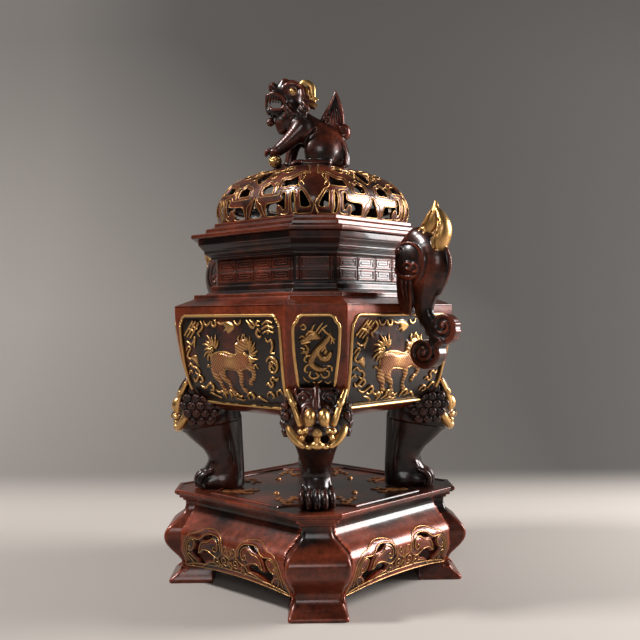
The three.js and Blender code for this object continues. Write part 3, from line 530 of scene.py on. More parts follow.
def gilding_group():
    """Gold wash over a patina: rubbed thin in patches, deeper in colour where it is hollow.

    cover = clamp(gilt * thin), with thin from 1.25 down to 0.6 as a coarse noise runs from 0.42 to 0.66;
    gold = mix(deep, bright, share), with share from none to all as wear runs from 0.25 to 0.75.
    """
    name = "gold_wash"
    if name in bpy.data.node_groups:
        return bpy.data.node_groups[name]
    group, enter, leave = new_group(
        name,
        [("Patina", "NodeSocketColor", (0.02, 0.01, 0.008, 1)),
         ("Gold", "NodeSocketColor", (0.7, 0.4, 0.1, 1)),
         ("Deep", "NodeSocketColor", (0.3, 0.13, 0.03, 1)), ("Gilt", "NodeSocketFloat", 0.0),
         ("Wear", "NodeSocketFloat", 0.5)],
        [("Colour", "NodeSocketColor"), ("Cover", "NodeSocketFloat")])
    place = group.nodes.new("ShaderNodeTexCoord")
    rub = add_node(group, "ShaderNodeTexNoise", in_Scale=95.0, in_Detail=5.0, in_Roughness=0.68)
    thin = add_node(group, "ShaderNodeMapRange", in_From_Min=0.42, in_From_Max=0.66, in_To_Min=1.25,
                    in_To_Max=0.6)
    cover = add_node(group, "ShaderNodeMath", operation="MULTIPLY", use_clamp=True)
    bright = add_node(group, "ShaderNodeMapRange", in_From_Min=0.25, in_From_Max=0.75)
    gold = add_node(group, "ShaderNodeMix", data_type="RGBA")
    final = add_node(group, "ShaderNodeMix", data_type="RGBA")
    wire(group, (place, "Object", rub, "Vector"), (rub, "Fac", thin, "Value"),
         (thin, "Result", cover, 0), (enter, "Gilt", cover, 1), (enter, "Wear", bright, "Value"),
         (bright, "Result", gold, "Factor"), (enter, "Deep", gold, "A"), (enter, "Gold", gold, "B"),
         (cover, "Value", final, "Factor"), (enter, "Patina", final, "A"), (gold, "Result", final, "B"),
         (final, "Result", leave, "Colour"), (cover, "Value", leave, "Cover"))
    return group


METALLIC = 0.25
BUMP_DEPTH = 0.0012
HOLLOW_GOLD = (0.34, 0.24, 0.16)


def metal_material(name, finish, amount, scale=18.0, wear_and_shade=None, rubbed=None):
    """Waxed bronze, with either a plain number for wear, or the point attributes wear and gilt.

    rubbed is for the second kind: the values of wear between which bare metal comes from none to all.
    The gilding's colour in hollows is its own times HOLLOW_GOLD.
    """
    if name in bpy.data.materials:
        return bpy.data.materials[name]
    material = bpy.data.materials.new(name)
    material.use_nodes = True
    tree = material.node_tree
    surface = tree.nodes["Principled BSDF"]
    patina = tree.nodes.new("ShaderNodeGroup")
    patina.node_tree = patina_group()
    patina.inputs["Dark"].default_value = (*finish.dark, 1)
    patina.inputs["Worn"].default_value = (*finish.red, 1)
    patina.inputs["Amount"].default_value = amount
    patina.inputs["Scale"].default_value = scale
    patina.inputs["Gloss"].default_value = finish.gloss
    bump = add_node(tree, "ShaderNodeBump", in_Strength=0.3, in_Distance=BUMP_DEPTH)
    if rubbed:
        wash = tree.nodes.new("ShaderNodeGroup")
        wash.node_tree = gilding_group()
        wash.inputs["Gold"].default_value = (*finish.gold, 1)
        wash.inputs["Deep"].default_value = (*(c * k for c, k in zip(finish.gold, HOLLOW_GOLD)), 1)
        # The point attribute read here holds wear, and on some pieces painted shade and a painted
        # highlight too.
        worn_at = add_node(tree, "ShaderNodeAttribute", attribute_name="wear_and_shade")
        gilt_at = add_node(tree, "ShaderNodeAttribute", attribute_name="gilt")
        shine = add_node(tree, "ShaderNodeMapRange", in_To_Min=METALLIC, in_To_Max=1.0)
        spread = add_node(tree, "ShaderNodeMapRange", in_From_Min=rubbed[0], in_From_Max=rubbed[1])
        wire(tree, (worn_at, "Fac", spread, "Value"), (spread, "Result", patina, "Wear"),
             (worn_at, "Fac", wash, "Wear"), (gilt_at, "Fac", wash, "Gilt"),
             (patina, "Colour", wash, "Patina"), (wash, "Colour", surface, "Base Color"),
             (wash, "Cover", shine, "Value"), (shine, "Result", surface, "Metallic"))
    else:
        patina.inputs["Wear"].default_value = wear_and_shade
        wire(tree, (patina, "Colour", surface, "Base Color"))
        surface.inputs["Metallic"].default_value = METALLIC
    wire(tree, (patina, "Roughness", surface, "Roughness"), (patina, "Height", bump, "Height"),
         (bump, "Normal", surface, "Normal"))
    surface.inputs["Specular IOR Level"].default_value = 0.32
    surface.inputs["Coat Weight"].default_value = 0.3
    surface.inputs["Coat Roughness"].default_value = 0.13
    return material


# Brown for the wide surfaces, deep for openwork and fine castings, black for the legs.
CARVED_FINISHES = {
    "brown": {"amount": 1.0, "rubbed": (0.3, 0.78)},
    "deep": {"amount": 0.75, "scale": 26.0, "rubbed": (0.43, 0.92)},
    "black": {"amount": 0.4, "scale": 26.0, "rubbed": (0.48, 0.96)},
}


def carved_material(context, shade):
    """Finish of the carved pieces."""
    return metal_material(f"carved_{shade}_patina", context.scene.burner_finish, **CARVED_FINISHES[shade])


# Legs

# Limb upward from the platform: height, inner reach, outer reach, half width.
LIMB = [
    (80, 68.5, 97.5, 12.2), (86, 68.5, 97.5, 12.2), (98.6, 67.8, 98.6, 11.9), (109.6, 68.2, 98.8, 12.0),
    (119.6, 69.2, 105, 13.2), (129.6, 70.2, 116.6, 15.8), (138.6, 71, 125.6, 18.8),
    (148.6, 71.4, 127.5, 21.4), (160, 72, 126, 22.0), (178, 76, 120, 21.0),
]
# Roundness of the limb's section, an ellipse at 2, and the height where the limb ends.
LIMB_POWER = 2.4
LIMB_TOP = 186
BELLY_SIDE = [
    (0, 37.9), (0.018, 32.5), (0.055, 25.5), (0.105, 19), (0.17, 14), (0.26, 9.6), (0.4, 5.9), (0.6, 3),
    (0.82, 0.7), (0.94, 0), (1, 0),
]


def broad_reach(z):
    """Distance of a broad belly face from the axis at a height."""
    table = np.array(BELLY_SIDE)
    rises = BELLY_BOTTOM + table[:, 0] * (BELLY_TOP - BELLY_BOTTOM)
    return BELLY_HALF - np.interp(z, rises, table[:, 1])


def corner_reach(z):
    """Distance of a corner belly face from the axis: (2 * broad reach - cut) / root 2."""
    return (2 * broad_reach(z) - BELLY_CUT) / ROOT2


def cut_belly(clay, faces_corner):
    """Takes the belly and the gap around it out of the clay of a leg, at a corner, or of a handle."""
    x, y, z = clay.everywhere()
    broad, corner = broad_reach(z) + BELLY_GAP, corner_reach(z) + BELLY_GAP
    if faces_corner:
        inside = np.maximum(np.maximum((x + y) / ROOT2 - broad, (x - y) / ROOT2 - broad), x - corner)
    else:
        inside = np.maximum(x - broad, (x + np.abs(y)) / ROOT2 - corner)
    clay.trim(-np.maximum(inside, BELLY_BOTTOM - BELLY_GAP - z))


def face_masses(clay):
    """Skull, snout and chin under the gilding, and the lump that carries the mane."""
    clay.lump((117.5, 0, 162), (13, 17, 13.5), blend=5)
    clay.lump((127, 0, 152), (8, 10, 6), blend=4)
    clay.lump((121, 0, 143), (9, 11, 6), blend=4)
    clay.lump((110, 0, 176), (8, 14, 10), blend=6)
    for _ in clay.sides():
        clay.lump((104, 21, 161), (18, 7, 15), blend=5)
        clay.lump((116, 14, 150), (9, 7, 9), blend=4)


def eyes_and_brow(clay):
    """Egg-shaped eyes with lids, brow scrolls and the band between them."""
    for side in clay.sides():
        clay.lump((126.2, 5.6, 161.6), (7.6, 5.2, 8.4), blend=0.5, gilt=True)
        clay.rope([(126.6, 11.6, 158, 1.2), (127.0, 11.6, 166, 1.4), (125, 8.6, 171.4, 1.5),
                   (126, 2.6, 170.6, 1.4)], blend=0.7)
        curl = spiral(10.2 * side, 177.2, 5.6, -1.2, 1.5, side, 0.2, 12)
        curl = [(120.8 - 0.05 * abs(u), u * side, v, 1.8) for u, v in curl]
        clay.rope([(124, 4, 171.5, 1.7), *curl], blend=0.6)
        clay.lump((121.4, 10.2, 177.2), (2.0, 1.8, 1.8), blend=0.3)
        clay.rope([(119.5, 5.4, 176, 1.1), (117.5, 4.6, 182, 1.0), (114.5, 5.6, 188, 0.7)], blend=0.5)
        clay.rope([(121, 15.5, 176, 1.6), (119, 17, 183, 1.5), (115, 14.8, 189, 1.2)], blend=0.8)
    clay.rope([(127.5, 0, 171, 2.2), (124.5, 0, 178, 2.7), (119.5, 0, 186, 2.4), (115.5, 0, 190, 1.6)],
              blend=1.0)
    for lift in (0, 3.2, 6.4, 9.6):
        clay.rope([(126.6 - lift * 0.62, -1.8, 175 + lift, 0.55),
                   (127.4 - lift * 0.62, 0, 174 + lift, 0.55),
                   (126.6 - lift * 0.62, 1.8, 175 + lift, 0.55)], blend=0.4)


def horns_and_jaws(clay):
    """Gilded horns, nose, cheek knobs, chin tuft and jaw bars around the dark mouth."""
    clay.lump((131.2, 0, 151.0), (4.8, 4.4, 3.9), blend=0.5, gilt=True)
    clay.lump((130.0, 0, 145.4), (3.2, 2.9, 3.0), blend=0.6, gilt=True)
    clay.lump((129.6, 0, 140.8), (3.8, 5.4, 3.8), blend=0.8, gilt=True)
    for _ in clay.sides():
        clay.rope([(126.8, 13.6, 157.5, 2.5), (126.2, 15.6, 163.5, 2.6), (123.5, 18.6, 171.5, 2.3),
                   (121.5, 20.4, 176, 2.6), (118, 23.2, 183.5, 2.2)], blend=0.4, gilt=True)
        clay.rope([(124.5, 18.6, 173.2, 2.8), (123.3, 19.8, 174.6, 2.8)], blend=0.2, gilt=True)
        clay.rope([(117.5, 22.4, 154.4, 3.4), (120.4, 20.4, 149.2, 4.0), (124.6, 15.6, 143.4, 3.8),
                   (127, 11.4, 140.2, 2.8)], blend=0.5, gilt=True)
        clay.lump((128.0, 12.4, 151.6), (3.4, 3.4, 2.6), blend=0.4, gilt=True)
        clay.lump((129.6, 8.0, 152.4), (3.2, 3.0, 2.4), blend=0.4, gilt=True)
        clay.lump((127.8, 10.6, 146.6), (3.2, 3.2, 2.7), blend=0.4, gilt=True)
        clay.lump((127.8, 6.4, 139.2), (3.0, 3.2, 2.3), blend=0.4, gilt=True)
        clay.lump((129.5, 6.4, 145.6), (7, 3.6, 3.0), blend=0.8, cut=True)
        clay.rope([(119, 18, 163, 1.5), (121, 16.5, 158, 1.5), (121, 18.5, 154, 1.4)], blend=0.8)


def mane_curls(clay):
    """Rows of tight snail curls over the mane, each a ring about a bead."""
    for row, z in enumerate(np.arange(149.0, 179, 7.0)):
        for x in np.arange(87.5 + 4.1 * (row % 2), 122, 8.2):
            swell_out = 1 - ((x - 104) / 19) ** 2 - ((z - 161) / 18.5) ** 2
            if swell_out < 0.02:
                continue
            depth = 21.6 + 6.2 * math.sqrt(swell_out)
            for _ in clay.sides():
                out = np.array([(x - 104) / 190, 1, (z - 161) / 170])
                centre = np.array([x, depth, z])
                clay.lump(centre - 0.6 * out, (4.4, 3.0, 3.9), blend=0.5)
                clay.ring(centre + 1.2 * out, out, 2.7, 1.05, blend=0.3)
                clay.lump(centre + 1.8 * out, (1.3, 1.5, 1.3), blend=0.2)


def paw(clay):
    """Foot with five upright toes, knuckles and the tendons above them."""
    clay.lump((88, 0, 90), (18, 14, 10), blend=5)
    clay.lump((99, 0, 89), (11, 14.6, 8), blend=4)
    clay.rope([(85, 0, 114, 7.6), (91, 0, 104, 8.6), (99, 0, 95, 8.4)], blend=7, flat=(1, 1.2, 1))
    for toe in range(-2, 3):
        t = toe * 6.2
        back = 1.1 * toe * toe
        clay.rope([(98.5 - back, t * 0.84, 99.6, 2.2), (104.5 - back, t * 0.95, 98.6, 2.9),
                   (109.4 - back, t, 95.4, 3.2), (111.2 - back, t * 1.02, 90.6, 3.1),
                   (110.0 - back, t * 1.02, 86.8, 2.9), (108 - back, t, 84.8, 2.4)], blend=0.6)
        clay.lump((107.6 - back, t * 0.97, 98.6), (2.2, 2.3, 1.7), blend=0.4)
        clay.lump((110.8 - back, t * 1.02, 86.4), (2.4, 1.6, 1.9), blend=0.3)
        clay.rope([(101.4 - back, t * 0.9, 100.4, 2.2), (99.2 - back, t * 0.84, 105.4, 1.5),
                   (96.4 - back, t * 0.8, 110, 0.6)], blend=1.8)


def leg_clay(cell):
    """One leg in its own frame: X is the diagonal outward, Y runs across it."""
    clay = Clay((62, -34, 82), (139, 34, 193), cell)
    x, y, z = clay.everywhere()
    near, far, half = eased(z, LIMB)
    centre, a = (near + far) / 2, (far - near) / 2
    round_k = (np.abs((x - centre) / a) ** LIMB_POWER
               + np.abs(y / half) ** LIMB_POWER) ** (1 / LIMB_POWER)
    limb = (round_k - 1) * np.minimum(a, half)
    rim = np.maximum(limb - 1.5, 138.4 + (127 - x) * 0.17 - z)
    clay.d = soft_min(limb, rim, 0.5)
    clay.rope([(70.6, 0, 80, 3.4), (70.0, 0, 100, 3.4), (71.2, 0, 122, 3.6), (73, 0, 150, 4.2)],
              blend=0.8, flat=(1, 2.0, 1))
    for _ in clay.sides():
        clay.rope([(77.2, 9.4, 84, 0.9), (76.8, 9.2, 104, 0.9), (78.5, 13.6, 128, 1.0),
                   (80, 19, 146, 1.0)], blend=1.2, cut=True)
    clay.trim(z - LIMB_TOP)
    face_masses(clay)
    eyes_and_brow(clay)
    horns_and_jaws(clay)
    mane_curls(clay)
    paw(clay)
    cut_belly(clay, faces_corner=True)
    clay.trim(STAND_HEIGHT + SEAT_GAP - z)
    return clay


class BURNER_OT_legs(bpy.types.Operator):
    """Four legs: a smooth limb, a beast mask with gilded eyes, horns and jaws, curls, and a paw"""
    bl_idname = "burner.legs"
    bl_label = "Legs"

    def execute(self, context):
        points, faces, values = clay_surface(leg_clay(context.scene.burner_carving.cell))
        material = carved_material(context, "black")
        for k, angle in enumerate(DIAGONALS):
            mesh_piece(f"carved_leg_{k + 1}", "burner", "dark_bronze", turned(points, angle), faces,
                       material, values, stands_for=(f"leg_{k + 1}",))
        return {"FINISHED"}


# Handles

HANDLE_REACH = 165.2
HANDLE_TOP = 340.9


def handle_head(clay):
    """Pear-shaped head: the disc on each side, the fanned feathers, the comb and the stem below."""
    clay.rope([(126, 0, 309, 8), (131, 0, 302, 14), (136, 0, 291, 18.5), (136, 0, 280, 18.5),
               (132, 0, 268, 14.5), (130, 0, 256, 10.5), (131, 0, 246, 8.5), (136, 0, 238.5, 7.2),
               (143, 0, 231, 6.2)], blend=1, flat=(1, 0.66, 1))
    clay.rope([(108, 0, 297, 6.5), (114, 0, 303, 8.5), (122, 0, 309, 9)], blend=5, flat=(1, 0.75, 1))
    for _ in clay.sides():
        clay.lump((121.2, 8.6, 290.2), (15.4, 5.9, 15.8), blend=0.8)
        rim = [(121.2 + 14.9 * math.cos(a), 11.2, 290.2 + 15.3 * math.sin(a), 1.25)
               for a in np.linspace(0, 2 * np.pi, 20, endpoint=False)]
        clay.rope(rim, blend=0.6, per_span=3, endless=True)
        clay.lump((114.4, 12.9, 298.6), (3.6, 2.7, 3.5), blend=0.5)
        clay.rope([(119.5, 14.3, 286, 1.0), (122.7, 14.5, 288.2, 1.5), (126.4, 14.2, 287.4, 1.6),
                   (127.3, 14.0, 284.4, 1.5), (124.8, 14.0, 282.6, 1.3), (122.4, 14.2, 284.0, 1.0)],
                  blend=0.4)
        clay.rope([(127.3, 14.0, 284.6, 1.4), (130.2, 13.6, 287.2, 1.5), (133.0, 12.9, 285.2, 1.4),
                   (132.2, 12.8, 281.6, 1.2), (129.0, 13.2, 280.4, 1.0)], blend=0.4)
        clay.rope([(108.4, 12.3, 284.6, 0.9), (112, 12.6, 279.6, 1.3), (118.4, 12.6, 276.8, 1.3),
                   (125, 12.2, 277.0, 0.8)], blend=0.4)
        clay.rope([(138.6, 12.2, 300, 1.0), (141.4, 12.2, 290, 1.4), (139.0, 12.2, 279, 1.2),
                   (131, 10.8, 270, 0.8)], blend=1.4, cut=True)
        for k in range(5):
            x = 105.5 + 4.0 * k
            drop = (116.4 - x) * 0.14
            clay.rope([(x, 7.4 + 0.9 * min(k, 4 - k), 279.5 - 1.6 * abs(2 - k), 2.4),
                       (x + 0.4 + drop * 0.6, 7.6 + 0.7 * min(k, 4 - k), 268, 2.5),
                       (x + 1.2 + drop * 2.2, 6.6, 257, 2.2), (112.5 + 1.3 * k, 3.6, 246.5, 1.3)],
                      blend=0.5)
    clay.rope([(106, 0, 290, 5.5), (107, 0, 276, 6.6), (110, 0, 262, 6.2), (115, 0, 248, 4.0)], blend=3)
    back = [(146.5, 304.5), (153.4, 299), (157, 290), (156, 280), (151.4, 271), (146, 262)]
    back = smooth_line(back, 5)
    clay.rope([(x - 2.0, 0, z, 2.6) for x, z in back[::3]], blend=1.2, flat=(1, 0.7, 1), per_span=3)
    for x, z in back:
        clay.lump((x, 0, z), (1.5, 1.7, 1.1), blend=0.4)


def handle_crown(clay):
    """Gilded crown blade with its ring, and the broad wattle that curls down behind it."""
    clay.rope([(129.6, 0, 313.6, 3.6), (134.0, 0, 317.6, 6.6), (138.8, 0, 323.4, 7.2),
               (141.8, 0, 330.2, 5.0), (142.6, 0, 336.0, 2.8), (142.4, 0, 340.4, 0.8)], blend=0.6,
              flat=(1, 0.62, 1), gilt=True)
    clay.rope([(144.4, 0, 333.4, 1.6), (148.4, 0, 326.4, 4.0), (151.2, 0, 318.4, 5.6),
               (150.0, 0, 310.8, 6.6), (147.0, 0, 303.8, 6.8), (147.0, 0, 297.0, 5.4),
               (150.6, 0, 291.4, 1.2)], blend=0.5, flat=(1, 1.3, 1), gilt=True)
    for _ in clay.sides():
        clay.ring((131.6, 4.2, 314.8), (0, 1, 0), 2.6, 1.0, blend=0.3, gilt=True)
        clay.rope([(132, 5.0, 320, 0.7), (136.6, 5.4, 325, 0.9), (140.6, 3.8, 332, 0.6)], blend=0.5,
                  gilt=True)
        clay.rope([(145.2, 3.6, 326.6, 0.8), (143.8, 4.6, 320.0, 1.3), (141.6, 5.2, 312.0, 1.5)],
                  blend=0.8, cut=True)
        clay.rope([(149.6, 5.8, 323, 0.6), (151.0, 7.6, 315, 0.8), (147.6, 9.0, 306, 0.8),
                   (147.2, 7.0, 297, 0.6)], blend=0.8, cut=True)
    clay.rope([(118.5, 0, 306, 7), (124.6, 0, 310.4, 7.2)], blend=3, flat=(1, 0.8, 1))


UPPER_SCROLL = [
    (133.6, 246, 4.2), (134.8, 237, 3.6), (139.7, 228.2, 2.7), (149.6, 222.8, 2.4), (158.2, 224.2, 2.3),
    (162.0, 230.4, 2.2), (161.0, 238.6, 2.1), (155.4, 243.0, 2.0), (147.8, 242.8, 1.9),
    (142.9, 237.9, 1.8), (144.4, 231.9, 1.7), (150.6, 229.4, 1.6), (156.2, 232.6, 1.5),
    (155.4, 237.4, 1.3), (150.6, 238.2, 1.2), (149.2, 235.0, 1.2), (151.6, 234.2, 1.3),
]
LOWER_SCROLL = [
    (150.6, 222.2, 2.3), (146.4, 217.6, 2.3), (147.0, 210.6, 2.3), (141.8, 204.3, 2.3),
    (132.6, 201.4, 2.3), (124.0, 205.4, 2.2), (120.9, 212.8, 2.1), (124.2, 219.6, 2.0),
    (131.6, 222.2, 1.9), (138.8, 219.4, 1.8), (140.6, 213.0, 1.7), (136.6, 208.0, 1.6),
    (130.4, 208.0, 1.5), (127.2, 212.6, 1.4), (130.6, 216.6, 1.3), (135.0, 214.8, 1.2),
    (134.4, 211.8, 1.2),
]


def handle_volutes(clay):
    """Two scrolled ribbons drawn in the plane of X and Z and given a width along Y.

    A slab of a flat shape has the distance min(max(s, |y| - w), 0) + |(s, |y| - w) above 0|.
    """
    low, high = (106, 192), (171, 262)
    upper = Stencil(low, high, 0.5).stroke(UPPER_SCROLL)
    lower = Stencil(low, high, 0.5).stroke(LOWER_SCROLL)
    upper_web = Stencil(low, high, 0.5).disc(152.0, 234.6, 9.6)
    lower_web = Stencil(low, high, 0.5).disc(132.6, 211.8, 9.6).polygon(
        [(138, 230), (146, 226), (148, 216), (142, 210), (136, 216)], smooth=False)
    x, y, z = clay.everywhere()
    places = (x + 0 * z, z + 0 * x)
    for stencil, half, soft in (
            (upper, 4.4, 1.3), (lower, 6.2, 1.3), (upper_web, 2.6, 0.8), (lower_web, 4.2, 0.8)):
        flat = stencil.read(*places) + soft
        deep = np.abs(y) - half + soft
        slab = np.minimum(np.maximum(flat, deep), 0) + np.hypot(np.maximum(flat, 0), np.maximum(deep, 0))
        clay.d = soft_min(clay.d, (slab - soft).astype(np.float32), 0.6)
    for _ in clay.sides():
        clay.lump((152.0, 3.6, 235.0), (2.3, 2.0, 2.3), blend=0.4)
        clay.lump((133.4, 5.4, 212.4), (2.4, 2.0, 2.4), blend=0.4)
    for angle in np.radians([-38, -8, 24]):
        x, z = 152.0 + 12.4 * math.cos(angle), 232.4 + 11.0 * math.sin(angle)
        clay.rope([(x, -3.4, z, 1.3), (x, 3.4, z, 1.3)], blend=0.8)


def handle_clay(cell):
    """One handle in its own frame: X points away from the vessel."""
    clay = Clay((94, -18, 196), (169, 18, 343), cell)
    handle_head(clay)
    handle_crown(clay)
    handle_volutes(clay)
    cut_belly(clay, faces_corner=False)
    x, _, z = clay.everywhere()
    clay.trim(x - HANDLE_REACH, z - HANDLE_TOP)
    return clay


class BURNER_OT_handles(bpy.types.Operator):
    """Two bird-head handles on scrolled ribbons, with gilded crowns"""
    bl_idname = "burner.handles"
    bl_label = "Handles"

    def execute(self, context):
        points, faces, values = clay_surface(handle_clay(context.scene.burner_carving.cell))
        material = carved_material(context, "deep")
        for name, angle in (("right", 0.0), ("left", math.pi)):
            mesh_piece(f"carved_handle_{name}", "burner", "bronze", turned(points, angle), faces,
                       material, values, stands_for=(f"handle_{name}",))
        return {"FINISHED"}


# Lion

LION_TOP = 86
LION_GAP = 0.35
BALL_FORWARD = 34.6
BALL_ASIDE = 10.5
BALL_NEST = 6.7
BALL_RADIUS = 6.15
BALL_RISE = 6.75


def lion_body(clay):
    """Trunk, haunches, legs and paws of the seated lion. X is forward, Z = 0 is the plateau."""
    clay.rope([(-25, 0, 12, 9.5), (-17, 0, 21, 15.5), (-4, 0, 31, 16), (9, 0, 41, 14), (17, 0, 51, 12.4),
               (19, 0, 62, 10.5)], blend=1, flat=(1, 0.9, 1), per_span=6)
    clay.rope([(-27, 0, 4, 5.5), (-4, 0, 4.5, 6.5), (14, 0, 4, 3.5)], blend=4, flat=(1, 1.5, 1))
    for _ in clay.sides():
        clay.lump((-8, 10.5, 16), (15.5, 8.5, 15), tilted(-18), blend=3)
        clay.rope([(-14, 13, 4.5, 4.6), (0, 14.5, 3.8, 4.4), (12, 14, 4.0, 4.2)], blend=1.5,
                  flat=(1, 1.1, 0.9))
        for toe in range(4):
            y = 11.2 + 2.4 * toe
            clay.rope([(11, y, 4.6, 1.8), (15.5, y, 4.4, 2.1), (18, y, 2.6, 1.9)], blend=0.4)
        clay.lump((9, 9.5, 35), (9.5, 7.5, 12), tilted(30), blend=3)
        clay.rope([(6.5, 15.4, 7, 0.9), (8.6, 14.2, 18, 1.2), (4.6, 13.6, 29, 1.2), (-3, 12.4, 36, 0.8)],
                  blend=2.0, cut=True)
        clay.rope([(-20, 7.0, 33, 1.3), (-27, 8.4, 25, 1.6), (-31.5, 8.8, 15, 1.7), (-31, 8.4, 5, 1.6)],
                  blend=1.6)
    clay.rope([(10, 9, 38, 9.0), (17, 10.2, 30, 7.9), (25, 10.8, 22.5, 6.6), (31.5, 10.6, 17.4, 5.8)],
              blend=2.5)
    clay.lump((34.4, 10.5, 15.6), (7.0, 6.6, 4.4), tilted(18), blend=1.5)
    clay.rope([(10, -9, 36, 8.0), (17, -10.2, 26, 6.4), (20.5, -10.4, 14, 5.6), (22, -10.4, 5, 5.2)],
              blend=2.5)
    clay.lump((26, -10.4, 4), (7.0, 6.2, 4.2), blend=1.5)
    for toe in range(4):
        y = 6.9 + 2.4 * toe
        clay.rope([(39, y, 17.0, 1.6), (42.0, y, 15.6, 1.8), (43.3, y, 12.8, 1.4)], blend=0.3)
        y = -14 + 2.4 * toe
        clay.rope([(30, y, 5.6, 1.6), (34, y, 4.4, 1.9), (35.6, y, 2.4, 1.6)], blend=0.3)


def lion_tail(clay):
    """Leaf-shaped tail with ribs, the squared curl behind it and the ridge along the rump."""
    clay.rope([(-14, 0, 38, 9), (-19, 0, 46, 10.5), (-21.4, 0, 55, 8.6), (-22.4, 0, 65, 4.8),
               (-22.4, 0, 75.0, 0.7)], blend=1.5, flat=(1, 0.55, 1), per_span=5)
    clay.rope([(-28, 0, 41, 3.6), (-32, 0, 38, 4.4), (-32.6, 0, 33, 4.0), (-28, 0, 31, 3.4)], blend=1.0,
              flat=(0.9, 1.4, 1))
    clay.rope([(-4, 0, 46, 2.2), (-14, 0, 38.5, 2.4), (-24, 0, 30, 2.4), (-31, 0, 22, 2.2),
               (-33.6, 0, 12, 2.0), (-33, 0, 5, 2.2)], blend=1.2)
    clay.rope([(-12, 0, 38, 7), (-20, 0, 37, 8), (-27, 0, 34, 6)], blend=2.5, flat=(1, 0.7, 1))
    for _ in clay.sides():
        for k in range(4):
            x = -27.5 + 4.4 * k
            clay.rope([(x, 4.4, 42, 0.5), (x * 0.6 - 8.6, 4.2, 54, 0.8), (-22.2, 2.0, 70, 0.4)],
                      blend=0.9, cut=True)
        clay.rope([(-9, 3.6, 42, 1.4), (-10.6, 4.6, 49, 1.6), (-15.5, 4.0, 57, 1.2),
                   (-21.4, 2.4, 70, 0.7)], blend=0.5)
        clay.rope([(-29, 3.6, 44, 1.4), (-28.4, 4.4, 52, 1.5), (-25.6, 3.0, 62, 1.1),
                   (-22.6, 1.6, 73, 0.6)], blend=0.5)
        curl = [(x, 5.0, z, 1.2) for x, z in spiral(-14.5, 45.5, 4.2, 0.5, 1.2, 1, 0.25, 10)]
        clay.rope(curl, blend=0.4)


